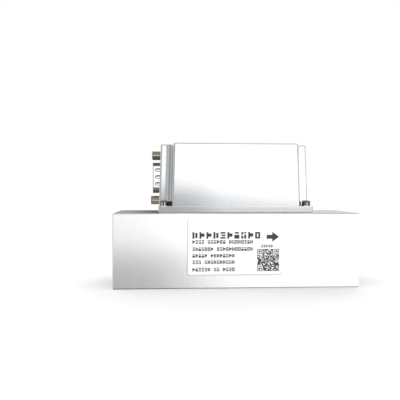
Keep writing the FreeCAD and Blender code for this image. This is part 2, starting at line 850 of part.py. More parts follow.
def jackscrews():
    """Two hexagon posts outside the wall, threaded inside for the mating plug's screws."""
    posts = []
    for point in jackscrew_points(0):
        base = vector(spot_x(point.z), 0, point.z)
        post = hexagon_prism(jackscrew_hex, base - along_x * jackscrew_height, along_x, jackscrew_height)
        post = post.fuse(rod(jackscrew_stud_diameter, base, along_x, jackscrew_stud_length))
        mouth = base - along_x * jackscrew_height
        corner = hexagon_corner(jackscrew_hex)
        cone = Part.makeCone(corner - jackscrew_bevel, corner + jackscrew_height,
                             jackscrew_height + jackscrew_bevel, mouth, along_x)
        rounded = cone.fuse(rod(4 * jackscrew_hex, base, along_x, jackscrew_stud_length))
        thread = tapped_hole(jackscrew_stud_diameter, mouth, along_x, jackscrew_thread_depth)
        posts.append(post.common(rounded).removeSplitter().cut(thread))
    return Part.makeCompound(posts)


def jackscrew_washers():
    """Split spring washers between the connector's flanges and the nuts."""
    hole = jackscrew_stud_diameter + screw_gap
    washer = ring(jackscrew_washer_diameter, hole, vector(0, 0, 0), along_x, jackscrew_washer_thickness)
    half_slit = jackscrew_washer_slit / 2
    slit = block(vector(0, -half_slit, 0),
                 vector(jackscrew_washer_thickness, half_slit, jackscrew_washer_diameter))
    return Part.makeCompound(copies(washer.cut(slit), jackscrew_points(rear_flange_back)))


def jackscrew_nuts():
    """Hexagon nuts on the inner ends of the jackscrews."""
    nut = hexagon_prism(jackscrew_hex, vector(0, 0, 0), along_x, jackscrew_nut_height)
    hole = jackscrew_stud_diameter + 2 * thread_gap
    nut = nut.cut(rod(hole, vector(0, 0, 0), along_x, jackscrew_nut_height))
    return Part.makeCompound(copies(nut, jackscrew_points(rear_flange_back + jackscrew_washer_thickness)))


def main_board():
    """Upright circuit board between the connector's tails and the housing's guide ribs."""
    low = vector(board_left, -board_thickness / 2, board_bottom)
    return block(low, vector(board_right, board_thickness / 2, board_bottom + board_height))


def on_board(place):
    """Point on the board's front face, measured from its lower left corner."""
    return vector(board_left + place[0], -board_thickness / 2, board_bottom + place[1])


def plain_part(place, length, width, height):
    """Block lying on the board's front face."""
    half = vector(length / 2, 0, width / 2)
    return block(on_board(place) - half - along_y * height, on_board(place) + half)


def rounded_part(place, length, width, height, radius):
    """Block with rounded corners lying on the board's front face."""
    wire = rectangle_wire(on_board(place), along_x, up_z, length, width, radius)
    return prism(wire, along_y * -height)


def lead_row(place, reach, pitch, count, along, outward):
    """Short flat leads on the board, in a row along one of its sides."""
    size = along * lead_width + outward * lead_reach
    leads = []
    for step in range(count):
        centre = on_board(place) + along * ((step - (count - 1) / 2) * pitch)
        for side in (-1, 1):
            middle = centre + outward * (side * (reach + lead_reach / 2))
            low = middle - size / 2 - vector(0, lead_thickness, 0)
            leads.append(block(low, middle + size / 2))
    return leads


def chip_body(place, length, width, height):
    """Moulded chip body standing just off the board on its leads."""
    body = plain_part(place, length, width, height)
    body.translate(along_y * -lead_stand_off)
    return body


def processor():
    """Square processor chip with leads on all four sides."""
    reach = processor_size / 2
    leads = []
    for along, outward in ((along_x, up_z), (up_z, along_x)):
        leads += lead_row(processor_place, reach, processor_lead_pitch, processor_side_lead_count,
                          along, outward)
    body = chip_body(processor_place, processor_size, processor_size, processor_height)
    return body.fuse(leads).removeSplitter()


def amplifier_chips():
    """Two bridge amplifier chips with leads above and below."""
    chips = []
    for place in amplifier_places:
        leads = lead_row(place, amplifier_width / 2, amplifier_lead_pitch, amplifier_side_lead_count,
                         along_x, up_z)
        body = chip_body(place, amplifier_length, amplifier_width, amplifier_height)
        chips.append(body.fuse(leads).removeSplitter())
    return Part.makeCompound(chips)


def voltage_regulator():
    """Flat power package with a metal tab above and two short legs below."""
    x, z = regulator_place
    body = plain_part(regulator_place, regulator_length, regulator_width, regulator_height)
    tab_place = (x, z + regulator_width / 2)
    metal = [plain_part(tab_place, regulator_tab_length, 2 * regulator_tab_reach, regulator_metal)]
    for side in (-1, 1):
        leg_place = (x + side * regulator_leg_spacing / 2, z - regulator_width / 2)
        metal.append(plain_part(leg_place, regulator_leg_width, 2 * regulator_leg_reach, regulator_metal))
    return body.fuse(metal).removeSplitter()


def power_inductor():
    """Shielded square inductor with a round core showing in its top."""
    body = rounded_part(inductor_place, inductor_size, inductor_size, inductor_height,
                        inductor_corner_radius)
    top = on_board(inductor_place) - along_y * inductor_height
    return body.fuse(rod(inductor_core_diameter, top, -along_y, inductor_core_rise))


def filter_capacitors():
    """Two upright aluminium cans on square plastic bases."""
    cans = []
    for place in capacitor_places:
        base = rounded_part(place, capacitor_base_size, capacitor_base_size, capacitor_base_height,
                            capacitor_base_corner_radius)
        foot = on_board(place) - along_y * capacitor_base_height
        can = rod(capacitor_diameter, foot, -along_y, capacitor_height - capacitor_base_height)
        rim = [edge for edge in can.Edges if edge.BoundBox.YMax < foot.y - capacitor_rim_radius]
        cans.append(base.fuse(can.makeFillet(capacitor_rim_radius, rim)).removeSplitter())
    return Part.makeCompound(cans)


def clock_crystal():
    """Low metal can with round ends."""
    return rounded_part(crystal_place, crystal_length, crystal_width, crystal_height,
                        crystal_corner_radius)


def chip_parts():
    """Small block resistors and capacitors in rows along the board's lower edge."""
    parts = []
    for row in range(chip_part_row_count):
        for column in range(chip_part_column_count):
            place = (chip_part_start[0] + column * chip_part_step[0],
                     chip_part_start[1] + row * chip_part_step[1])
            parts.append(plain_part(place, chip_part_length, chip_part_width, chip_part_height))
    return Part.makeCompound(parts)


def rating_label():
    """Thin printed label on the front face of the flow body."""
    centre = vector(inlet_x + label_left + label_length / 2, front_y, label_base + label_height / 2)
    wire = rectangle_wire(centre, along_x, up_z, label_length, label_height, label_corner_radius)
    return prism(wire, vector(0, -label_thickness, 0))


nodes = {
    "flow_body": flow_body,
    "inlet_retaining_ring": retaining_ring,
    "inlet_screen": lambda: mesh_screen(inlet_screen_x),
    "screen_spacer": screen_spacer,
    "flow_straightener": flow_straightener,
    "settling_screen": lambda: mesh_screen(settling_screen_x),
    "sensor_probe": sensor_probe,
    "sensor_chip": sensor_chip,
    "probe_oring": probe_oring,
    "probe_pins": probe_pins,
    "board_spacers": board_spacers,
    "sensor_board": sensor_board,
    "sensor_screws": sensor_screws,
    "header_base": header_base,
    "header_pins": header_pins,
    "board_socket": board_socket,
    "main_board": main_board,
    "processor": processor,
    "amplifier_chips": amplifier_chips,
    "voltage_regulator": voltage_regulator,
    "power_inductor": power_inductor,
    "filter_capacitors": filter_capacitors,
    "clock_crystal": clock_crystal,
    "chip_parts": chip_parts,
    "housing": housing,
    "housing_gasket": housing_gasket,
    "housing_screws": housing_screws,
    "housing_washers": housing_washers,
    "connector_shell": connector_shell,
    "connector_rear_shell": connector_rear_shell,
    "connector_insulator": connector_insulator,
    "connector_pins": connector_pins,
    "jackscrews": jackscrews,
    "jackscrew_washers": jackscrew_washers,
    "jackscrew_nuts": jackscrew_nuts,
    "rating_label": rating_label,
}

os.makedirs("parts", exist_ok=True)
for node, make in nodes.items():
    write(node, make())
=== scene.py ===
import math
import random

import bmesh
import bpy
from mathutils import Matrix, Vector


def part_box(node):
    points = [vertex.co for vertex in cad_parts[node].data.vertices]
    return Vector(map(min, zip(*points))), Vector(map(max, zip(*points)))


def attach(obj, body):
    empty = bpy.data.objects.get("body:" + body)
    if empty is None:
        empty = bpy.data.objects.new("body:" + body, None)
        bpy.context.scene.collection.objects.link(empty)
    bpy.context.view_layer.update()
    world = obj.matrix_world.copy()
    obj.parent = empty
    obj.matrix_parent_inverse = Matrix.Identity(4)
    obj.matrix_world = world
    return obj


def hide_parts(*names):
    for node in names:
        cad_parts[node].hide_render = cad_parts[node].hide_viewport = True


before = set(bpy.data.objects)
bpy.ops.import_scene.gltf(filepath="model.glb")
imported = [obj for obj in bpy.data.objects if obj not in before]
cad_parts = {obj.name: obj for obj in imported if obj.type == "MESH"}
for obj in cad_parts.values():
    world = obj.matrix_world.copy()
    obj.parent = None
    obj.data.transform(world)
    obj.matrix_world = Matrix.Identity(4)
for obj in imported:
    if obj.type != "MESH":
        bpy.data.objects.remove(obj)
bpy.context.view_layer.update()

# Flow body: a square bar of aluminium, milled, bored from end to end and blasted with fine beads, which
# leaves an even satin grain. Its edges have a small bright chamfer, the bores and the end faces keep the
# fine marks of the lathe, and a line of painted shadow lies along the label's left and lower edge.
mm = 0.001


class Signal:
    """One output of a node. Python's signs on it add Math nodes to its graph."""

    def __init__(self, graph, made, index):
        self.graph = graph
        self.made = made
        self.socket = made.outputs[index]

    def out(self, index):
        return Signal(self.graph, self.made, index)

    def maths(self, operation, *others):
        return self.graph.maths(operation, self, *others)

    def __add__(self, other):
        return self.maths("ADD", other)

    def __sub__(self, other):
        return self.maths("SUBTRACT", other)

    def __rsub__(self, other):
        return self.graph.maths("SUBTRACT", other, self)

    def __mul__(self, other):
        return self.maths("MULTIPLY", other)

    def __truediv__(self, other):
        return self.maths("DIVIDE", other)

    def __pow__(self, other):
        return self.maths("POWER", other)

    def __lt__(self, other):
        return self.maths("LESS_THAN", other)

    def __gt__(self, other):
        return self.maths("GREATER_THAN", other)

    def __abs__(self):
        return self.maths("ABSOLUTE")

    __radd__ = __add__
    __rmul__ = __mul__


class Graph:
    """A node tree of a material, the studio light or a shape, filled one node at a time."""

    def __init__(self, tree):
        self.tree = tree

    def node(self, kind, settings=None, sockets=None, output=0):
        made = self.tree.nodes.new(kind)
        for name, value in (settings or {}).items():
            if name == "stops":
                ends = made.color_ramp.elements
                ends[0].position, ends[0].color = value[0]
                ends[1].position, ends[1].color = value[-1]
                for place, color in value[1:-1]:
                    ends.new(place).color = color
            else:
                setattr(made, name, value)
        for key, value in (sockets or {}).items():
            if isinstance(value, Signal):
                self.tree.links.new(value.socket, made.inputs[key])
            else:
                made.inputs[key].default_value = value
        return Signal(self, made, output) if len(made.outputs) else None

    def maths(self, operation, *values):
        return self.node("ShaderNodeMath", {"operation": operation}, dict(enumerate(values)))

    def place(self):
        """The three coordinates of the piece itself, in metres."""
        spot = self.node("ShaderNodeTexCoord", output="Object")
        parts = self.node("ShaderNodeSeparateXYZ", None, {0: spot})
        return spot, parts.out(0), parts.out(1), parts.out(2)

    def facing(self):
        """How far the surface faces along each of the three axes, without its sign."""
        normal = self.node("ShaderNodeNewGeometry", output="True Normal")
        size = self.node("ShaderNodeVectorMath", {"operation": "ABSOLUTE"}, {0: normal})
        parts = self.node("ShaderNodeSeparateXYZ", None, {0: size})
        return parts.out(0), parts.out(1), parts.out(2)

    def grain(self, spot, size, detail=2.0):
        """Even random grain of this size, from 0 to 1."""
        return self.node("ShaderNodeTexNoise", None, {"Vector": spot, "Scale": 1 / size, "Detail": detail})

    def lines(self, distance, size, detail=2.0):
        """Random lines this far apart, across the direction in which the distance grows."""
        return self.node("ShaderNodeTexNoise", {"noise_dimensions": "1D"},
                         {"W": distance, "Scale": 1 / size, "Detail": detail})

    def mixed(self, factor, first, second):
        return self.node("ShaderNodeMix", {"data_type": "RGBA"}, {0: factor, 6: first, 7: second}, 2)

    def chosen(self, factor, first, second):
        """A number: the first where the factor is 0, the second where it is 1."""
        return self.node("ShaderNodeMix", {"data_type": "FLOAT"}, {0: factor, 2: first, 3: second})

    def raised(self, height, depth):
        """Fine relief this deep in metres, where the height goes from 0 to 1."""
        return self.node("ShaderNodeBump", None, {"Height": height, "Distance": depth, "Strength": 1.0})


def new_finish(name):
    material = bpy.data.materials.new(name)
    material.use_nodes = True
    material.node_tree.nodes.clear()
    return material, Graph(material.node_tree)


def close_finish(graph, sockets):
    shader = graph.node("ShaderNodeBsdfPrincipled", None, sockets)
    graph.node("ShaderNodeOutputMaterial", None, {"Surface": shader})


def dress(material, *nodes):
    """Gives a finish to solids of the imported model."""
    for node in nodes:
        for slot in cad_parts[node].material_slots:
            slot.material = material


bore_z = 20 * mm
bar_half_length = 66 * mm
bar_front = -20 * mm
turned_reach = 13.55 * mm
blasting_depth = 0.012 * mm

blasted_bar, graph = new_finish("blasted_bar")
spot, x, y, z = graph.place()
along, across, upward = graph.facing()
radius = (y ** 2 + (z - bore_z) ** 2) ** 0.5
turned = radius < turned_reach
end_face = (abs(x) > bar_half_length - 0.03 * mm) * (1 - turned)
chamfer = (along.maths("MAXIMUM", across).maths("MAXIMUM", upward) < 0.93) * (1 - turned)
fine = graph.grain(spot, 0.3 * mm, 3.0)
coarse = graph.grain(spot, 0.9 * mm, 2.0)
patches = graph.grain(spot, 17 * mm, 3.0)
rings = graph.lines(radius, 0.22 * mm)
feed = graph.lines(x, 0.16 * mm)
speckle = graph.mixed(fine * 0.6 + coarse * 0.4, (0.74, 0.745, 0.75, 1), (0.95, 0.95, 0.945, 1))
bare = graph.mixed(turned.maths("MAXIMUM", chamfer), speckle, (0.92, 0.92, 0.915, 1))
blasted = graph.chosen(end_face, fine * 0.55 + coarse * 0.45, rings * 0.4 + fine * 0.6)
relief = graph.chosen(turned, blasted, feed)
gloss = graph.chosen(turned.maths("MAXIMUM", chamfer), 0.19 + fine * 0.08 + patches * 0.05,
                     0.17 + feed * 0.1)
label_low, label_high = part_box("rating_label")
label_corner = 1.4 * mm
label_shadow_width = 0.35 * mm


def from_label(x, z):
    """How far a place on the front lies outside the label's rounded outline; inside it is below 0."""
    middle, half = (label_low + label_high) / 2, (label_high - label_low) / 2
    beside = (abs(x - middle.x) - (half.x - label_corner)).maths("MAXIMUM", 0)
    above = (abs(z - middle.z) - (half.z - label_corner)).maths("MAXIMUM", 0)
    return (beside ** 2 + above ** 2) ** 0.5 - label_corner


# Painted shadow: the front is coloured darker in a thin line along the label's left and lower edge.
lower_left = (x < label_low.x + 1 * mm).maths("MAXIMUM", z < label_low.z + 1 * mm)
painted_label_shadow = (from_label(x, z) < label_shadow_width) * (y < bar_front + 0.1 * mm) * lower_left
close_finish(graph, {"Base Color": graph.mixed(painted_label_shadow * 0.8, bare, (0.62, 0.62, 0.61, 1)), "Metallic": 1.0,
                     "Roughness": gloss, "Normal": graph.raised(relief, blasting_depth)})
dress(blasted_bar, "flow_body")

# Threads of the two ports and of the four holes in the base: a ridge that winds along the wall of each
# hole, cut into the bar itself with a tap. The ports have a pipe thread, the base holes a metric one.
ridge_inputs = [("Wall", "NodeSocketFloat", 12.2 * mm), ("Rise", "NodeSocketFloat", 0.5 * mm),
                ("Pitch", "NodeSocketFloat", 1.8 * mm), ("Turns", "NodeSocketFloat", 8.0),
                ("Steps", "NodeSocketInt", 400), ("Finish", "NodeSocketMaterial", None)]


def new_shape(name, inputs):
    """An empty tree of Geometry Nodes with named inputs; gives back the tree, its graph and its inputs."""
    tree = bpy.data.node_groups.new(name, "GeometryNodeTree")
    tree.interface.new_socket("Geometry", in_out="OUTPUT", socket_type="NodeSocketGeometry")
    for title, kind, value in inputs:
        socket = tree.interface.new_socket(title, in_out="INPUT", socket_type=kind)
        if value is not None:
            socket.default_value = value
    graph = Graph(tree)
    return tree, graph, graph.node("NodeGroupInput")


def close_shape(graph, shape, given, smooth=True):
    """Ends a tree: the shape as real faces, with its finish."""
    whole = graph.node("GeometryNodeRealizeInstances", None, {"Geometry": shape})
    shaded = graph.node("GeometryNodeSetShadeSmooth", None, {"Geometry": whole, "Shade Smooth": smooth})
    dressed = graph.node("GeometryNodeSetMaterial", None,
                         {"Geometry": shaded, "Material": given.out("Finish")})
    graph.node("NodeGroupOutput", None, {"Geometry": dressed})


def shaped(name, tree, values, place=Matrix.Identity(4)):
    """A plain piece made by a tree of Geometry Nodes, moved to its place in its own mesh."""
    piece = bpy.data.objects.new(name, bpy.data.meshes.new(name))
    bpy.context.collection.objects.link(piece)
    modifier = piece.modifiers.new("shape", "NODES")
    modifier.node_group = tree
    for item in tree.interface.items_tree:
        if item.in_out == "INPUT" and item.name in values:
            modifier[item.identifier] = values[item.name]
    ready = piece.evaluated_get(bpy.context.evaluated_depsgraph_get())
    mesh = bpy.data.meshes.new_from_object(ready)
    piece.modifiers.remove(modifier)
    piece.data = mesh
    mesh.name = name
    mesh.materials.clear()
    mesh.materials.append(values["Finish"])
    mesh.polygons.foreach_set("material_index", [0] * len(mesh.polygons))
    mesh.transform(place)
    return piece


def gathered(name, pieces):
    """Several pieces of one finish as one piece."""
    points, faces, smooth = [], [], []
    for piece in pieces:
        first = len(points)
        points += [tuple(vertex.co) for vertex in piece.data.vertices]
        faces += [[first + index for index in face.vertices] for face in piece.data.polygons]
        smooth += [face.use_smooth for face in piece.data.polygons]
    mesh = bpy.data.meshes.new(name)
    mesh.from_pydata(points, [], faces)
    mesh.polygons.foreach_set("use_smooth", smooth)
    mesh.materials.append(pieces[0].data.materials[0])
    whole = bpy.data.objects.new(name, mesh)
    bpy.context.collection.objects.link(whole)
    for piece in pieces:
        bpy.data.objects.remove(piece)
    return whole


def axis_place(x, y, z, direction):
    """Where a piece made along the Z axis stands, turned to point in this direction."""
    turn = Vector((0, 0, 1)).rotation_difference(Vector(direction)).to_matrix().to_4x4()
    return Matrix.Translation(Vector((x, y, z))) @ turn


ridge_tree, graph, given = new_shape("thread_ridge", ridge_inputs)
strip = graph.node("GeometryNodeMeshGrid", None,
                   {"Size X": 1.0, "Size Y": 1.0, "Vertices X": given.out("Steps"), "Vertices Y": 4})
parts = graph.node("ShaderNodeSeparateXYZ", None, {0: graph.node("GeometryNodeInputPosition")})
turns = (parts.out(0) + 0.5) * given.out("Turns")
side = parts.out(1)
fade = turns.maths("MINIMUM", given.out("Turns") - turns).maths("MINIMUM", 1.0)
crest = (abs(side) < 0.3) * fade
reach = given.out("Wall") + 0.03 * mm - crest * given.out("Rise")
angle = turns * (2 * math.pi)
height = (turns + side * 0.86) * given.out("Pitch")
spot = graph.node("ShaderNodeCombineXYZ", None,
                  {0: reach * angle.maths("COSINE"), 1: reach * angle.maths("SINE"), 2: height})
wound = graph.node("GeometryNodeSetPosition", None, {"Geometry": strip, "Position": spot})
close_shape(graph, graph.node("GeometryNodeFlipFaces", None, {"Mesh": wound}), given)


def thread_ridge(name, wall, rise, pitch, depth, steps_per_turn, place, finish):
    turns = depth / pitch
    values = {"Wall": wall, "Rise": rise, "Pitch": pitch, "Turns": turns,
              "Steps": int(turns * steps_per_turn), "Finish": finish}
    return shaped(name, ridge_tree, values, place)


port_wall, port_ridge, port_pitch, port_depth = 12.2 * mm, 0.6 * mm, 1.814 * mm, 13 * mm
port_start = bar_half_length - 1.3 * mm
port_threads = gathered("port_threads", [
    thread_ridge("thread", port_wall, port_ridge, port_pitch, port_depth, 72,
                 axis_place(side * port_start, 0, bore_z, (-side, 0, 0)), blasted_bar)
    for side in (-1, 1)])
base_wall, base_ridge, base_pitch, base_depth = 2.05 * mm, 0.35 * mm, 0.7 * mm, 7 * mm
base_x, base_y, base_start = 50 * mm, 14 * mm, 0.3 * mm
base_threads = gathered("base_threads", [
    thread_ridge("thread", base_wall, base_ridge, base_pitch, base_depth, 28,
                 axis_place(x_side * base_x, y_side * base_y, base_start, (0, 0, 1)), blasted_bar)
    for x_side in (-1, 1) for y_side in (-1, 1)])
for piece in (port_threads, base_threads):
    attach(piece, "root")

# Flow conditioner in the inlet: a spring ring of blackened steel snapped into its groove, a turned
# aluminium spacer, a moulded honeycomb, and a woven wire screen on each side of the honeycomb.
blackened_spring, graph = new_finish("blackened_spring")
spot, x, y, z = graph.place()
rub = graph.grain(spot, 1.6 * mm, 4.0)
color = graph.mixed(rub ** 3, (0.028, 0.026, 0.025, 1), (0.17, 0.16, 0.15, 1))
close_finish(graph, {"Base Color": color, "Metallic": 0.85, "Roughness": 0.34 + rub * 0.14,
                     "Normal": graph.raised(graph.grain(spot, 0.25 * mm), 0.006 * mm)})
dress(blackened_spring, "inlet_retaining_ring")
dress(blasted_bar, "screen_spacer")

moulded_honeycomb, graph = new_finish("moulded_honeycomb")
spot, x, y, z = graph.place()
cloud = graph.grain(spot, 6 * mm, 3.0)
fine = graph.grain(spot, 0.25 * mm)
close_finish(graph, {"Base Color": graph.mixed(cloud, (0.70, 0.69, 0.63, 1), (0.82, 0.81, 0.76, 1)),
                     "Roughness": 0.36 + fine * 0.12, "Specular IOR Level": 0.45,
                     "Normal": graph.raised(fine * 0.3 + graph.lines(x, 1.1 * mm) * 0.7, 0.008 * mm)})
dress(moulded_honeycomb, "flow_straightener")

drawn_wire, graph = new_finish("drawn_wire")
spot, x, y, z = graph.place()
tone = graph.grain(spot, 0.7 * mm)
close_finish(graph, {"Base Color": graph.mixed(tone, (0.50, 0.48, 0.45, 1), (0.68, 0.66, 0.63, 1)),
                     "Metallic": 1.0, "Roughness": 0.2 + tone * 0.14})

weave_inputs = [("Radius", "NodeSocketFloat", 11.7 * mm), ("Pitch", "NodeSocketFloat", 1.0 * mm),
                ("Wire", "NodeSocketFloat", 0.1 * mm), ("Finish", "NodeSocketMaterial", None)]
weave_tree, graph, given = new_shape("woven_screen", weave_inputs)
half_count = (given.out("Radius") / given.out("Pitch")).maths("FLOOR")
pitch = given.out("Pitch")
row = graph.node("GeometryNodeMeshLine", None, {
    "Count": half_count * 2 + 1,
    "Start Location": graph.node("ShaderNodeCombineXYZ", None, {1: half_count * pitch * -1}),
    "Offset": graph.node("ShaderNodeCombineXYZ", None, {1: pitch})})
wire = graph.node("GeometryNodeMeshLine", {"mode": "END_POINTS"},
                  {"Count": half_count * 8 + 1, "Start Location": (-1, 0, 0), "Offset": (1, 0, 0)})
wires = graph.node("GeometryNodeRealizeInstances", None, {
    "Geometry": graph.node("GeometryNodeInstanceOnPoints", None, {"Points": row, "Instance": wire})})
parts = graph.node("ShaderNodeSeparateXYZ", None, {0: graph.node("GeometryNodeInputPosition")})
across = parts.out(1)
chord = (given.out("Radius") ** 2 - across ** 2).maths("MAXIMUM", 0.0) ** 0.5
along = parts.out(0) * chord
beat = (along * math.pi / pitch).maths("COSINE") * (across * math.pi / pitch).maths("COSINE")
layers = []
for sign in (1, -1):
    spot = (along, across) if sign == 1 else (across, along)
    bent = graph.node("GeometryNodeSetPosition", None, {"Geometry": wires, "Position": graph.node(
        "ShaderNodeCombineXYZ", None, {0: spot[0], 1: spot[1], 2: beat * given.out("Wire") * sign})})
    path = graph.node("GeometryNodeMeshToCurve", None, {"Mesh": bent})
    section = graph.node("GeometryNodeCurvePrimitiveCircle", None,
                         {"Resolution": 6, "Radius": given.out("Wire")})
    layers.append(graph.node("GeometryNodeCurveToMesh", None,
                             {"Curve": path, "Profile Curve": section, "Fill Caps": True}))
both = graph.node("GeometryNodeJoinGeometry", None, {"Geometry": layers[0]})
graph.tree.links.new(layers[1].socket, both.made.inputs["Geometry"])
close_shape(graph, both, given)

for node, name in (("inlet_screen", "inlet_weave"), ("settling_screen", "settling_weave")):
    low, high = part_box(node)
    weave = shaped(name, weave_tree, {"Radius": (high.y - low.y) / 2, "Finish": drawn_wire},
                   axis_place((low.x + high.x) / 2, 0, bore_z, (1, 0, 0)))
    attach(weave, "root")
    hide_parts(node)

# Sensor: a moulded black plastic plug with a blade that stands in the gas, a thin thermal chip in the
# blade, a rubber ring round the plug, and gold-plated pins that carry the signal up to the small board.
moulded_plug, graph = new_finish("moulded_plug")
spot, x, y, z = graph.place()
fibre = graph.node("ShaderNodeTexNoise", None, {
    "Vector": graph.node("ShaderNodeVectorMath", {"operation": "MULTIPLY"}, {0: spot, 1: (1, 1, 0.25)}),
    "Scale": 1 / (0.3 * mm), "Detail": 3.0})
close_finish(graph, {"Base Color": graph.mixed(fibre, (0.014, 0.014, 0.015, 1), (0.045, 0.045, 0.047, 1)),
                     "Roughness": 0.38 + fibre * 0.2, "Normal": graph.raised(fibre, 0.01 * mm)})
dress(moulded_plug, "sensor_probe")

thermal_chip, graph = new_finish("thermal_chip")
spot, x, y, z = graph.place()
side = abs(x - 8 * mm)
rise = z - bore_z
membrane = (side < 0.62 * mm) * (abs(rise) < 0.62 * mm)
heater = (side < 0.07 * mm) * (abs(rise) < 0.55 * mm)
piles = (abs(side - 0.33 * mm) < 0.1 * mm) * (abs(rise) < 0.45 * mm) * (graph.lines(z, 0.05 * mm) > 0.5)
pads = (abs(rise - 1.2 * mm) < 0.13 * mm) * (abs((x / (0.5 * mm)).maths("FRACT") - 0.5) < 0.3)
wafer = graph.mixed(membrane, (0.10, 0.11, 0.15, 1), (0.10, 0.05, 0.16, 1))
metal = heater.maths("MAXIMUM", piles).maths("MAXIMUM", pads)
close_finish(graph, {"Base Color": graph.mixed(metal, wafer, (0.90, 0.66, 0.28, 1)), "Metallic": 0.8,
                     "Roughness": graph.chosen(metal, 0.08, 0.22 + graph.grain(spot, 0.1 * mm) * 0.1)})
dress(thermal_chip, "sensor_chip")


def grained(name, size, detail, dark, light, gloss, depth, metallic=0.0):
    """A finish whose colour, gloss and fine relief all follow one random grain."""
    material, graph = new_finish(name)
    grain = graph.grain(graph.place()[0], size * mm, detail)
    close_finish(graph, {"Base Color": graph.mixed(grain, (*dark, 1), (*light, 1)), "Metallic": metallic,
                         "Roughness": gloss[0] + grain * gloss[1],
                         "Normal": graph.raised(grain, depth * mm)})
    return material


dress(grained("pressed_rubber", 0.5, 4.0, (0.012, 0.012, 0.012), (0.05, 0.049, 0.047), (0.55, 0.25), 0.01),
      "probe_oring")

plated_gold, graph = new_finish("plated_gold")
spot, x, y, z = graph.place()
haze = graph.grain(spot, 0.6 * mm, 3.0)
close_finish(graph, {"Base Color": graph.mixed(haze, (0.86, 0.61, 0.24, 1), (0.98, 0.76, 0.37, 1)),
                     "Metallic": 1.0, "Roughness": 0.16 + haze * 0.12,
                     "Normal": graph.raised(graph.lines(x + z, 0.12 * mm), 0.002 * mm)})
dress(plated_gold, "probe_pins", "header_pins", "connector_pins")

# Circuit boards: glass fibre laminate under green lacquer, with copper tracks that show through it and
# bare pads. The small board lies over the probe, the large one stands upright in the housing's ribs.
laminate = (0.45, 0.40, 0.22, 1)


def lacquered_board(name, face_axis, first_axis, second_axis):
    """Finish of one board: the axis that its faces look along, and the two that lie in it."""
    material, graph = new_finish(name)
    spot, *place = graph.place()
    face = graph.facing()[face_axis] > 0.9
    u, v = place[first_axis], place[second_axis]
    area = graph.node("ShaderNodeCombineXYZ", None, {0: (u / (5.5 * mm)).maths("FLOOR"),
                                                     1: (v / (4.2 * mm)).maths("FLOOR")})
    choice = graph.node("ShaderNodeTexWhiteNoise", None, {"Vector": area})
    flat_run, upright_run = [abs((way / (0.7 * mm)).maths("FRACT") - 0.5) < 0.16 for way in (v, u)]
    tracks = graph.chosen(choice > 0.5, flat_run, upright_run) * (choice > 0.18)
    pad_gap, pad_radius = 2.6 * mm, 0.35 * mm
    dots = graph.node("ShaderNodeTexVoronoi", None, {"Vector": spot, "Scale": 1 / pad_gap})
    pads = (dots * pad_gap < pad_radius) * face
    lacquer = graph.mixed(tracks, (0.006, 0.085, 0.035, 1), (0.02, 0.17, 0.07, 1))
    surface = graph.mixed(face, laminate, lacquer)
    close_finish(graph, {"Base Color": graph.mixed(pads, surface, (0.74, 0.73, 0.70, 1)), "Metallic": pads,
                         "Roughness": graph.chosen(face, 0.75, 0.26 + graph.grain(spot, 0.8 * mm) * 0.12),
                         "Normal": graph.raised(tracks * 0.7 + pads * 0.3, 0.02 * mm)})
    return material


dress(lacquered_board("lacquered_sensor_board", 2, 0, 1), "sensor_board")
dress(lacquered_board("lacquered_main_board", 1, 0, 2), "main_board")

# What stands on the boards: black moulded chips with tinned leads, a ferrite coil body, aluminium cans
# on plastic feet, a pressed crystal can, ceramic blocks with tinned ends, and black plug strips.
moulded_chip, graph = new_finish("moulded_chip")
spot, x, y, z = graph.place()
lead = y > -1.1 * mm
print_dot = ((x - 12.3 * mm) ** 2 + (z - 63.5 * mm) ** 2) ** 0.5 < 0.4 * mm
fine = graph.grain(spot, 0.12 * mm, 3.0)
mould = graph.mixed(fine, (0.012, 0.012, 0.013, 1), (0.035, 0.035, 0.036, 1))
body = graph.mixed(print_dot, mould, (0.25, 0.25, 0.25, 1))
close_finish(graph, {"Base Color": graph.mixed(lead, body, (0.78, 0.77, 0.75, 1)), "Metallic": lead,
                     "Roughness": graph.chosen(lead, 0.5 + fine * 0.2, 0.24 + fine * 0.1),
                     "Normal": graph.raised(fine, 0.006 * mm)})
dress(moulded_chip, "processor", "amplifier_chips", "voltage_regulator")

dress(grained("fired_ferrite", 0.2, 4.0, (0.03, 0.03, 0.032), (0.10, 0.10, 0.105), (0.5, 0.2), 0.012),
      "power_inductor")

drawn_can, graph = new_finish("drawn_can")
spot, x, y, z = graph.place()
foot = y > -1.85 * mm
mark = (y < -6.3 * mm) * (((x - 28 * mm) / (9 * mm)).maths("FRACT") > 0.85)
fine = graph.grain(spot, 0.3 * mm)
metal = graph.mixed(mark, (0.80, 0.80, 0.80, 1), (0.03, 0.03, 0.03, 1))
close_finish(graph, {"Base Color": graph.mixed(foot, metal, (0.02, 0.02, 0.02, 1)), "Metallic": 1 - foot,
                     "Roughness": graph.chosen(foot, 0.22 + fine * 0.12, 0.55),
                     "Normal": graph.raised(graph.lines(y, 0.2 * mm), 0.003 * mm)})
dress(drawn_can, "filter_capacitors")

fired_ceramic, graph = new_finish("fired_ceramic")
spot, x, y, z = graph.place()
end = abs(((x + 27.69 * mm) / (3 * mm)).maths("FRACT") - 1 / 3) > 0.2
fine = graph.grain(spot, 0.2 * mm)
brown = graph.mixed(fine, (0.22, 0.13, 0.07, 1), (0.33, 0.21, 0.12, 1))
close_finish(graph, {"Base Color": graph.mixed(end, brown, (0.76, 0.75, 0.73, 1)), "Metallic": end,
                     "Roughness": 0.35 + fine * 0.15, "Normal": graph.raised(fine, 0.006 * mm)})
dress(fired_ceramic, "chip_parts")

dress(grained("moulded_strip", 0.18, 3.0, (0.010, 0.010, 0.011), (0.03, 0.03, 0.031), (0.42, 0.16), 0.008),
      "header_base", "board_socket", "connector_insulator")

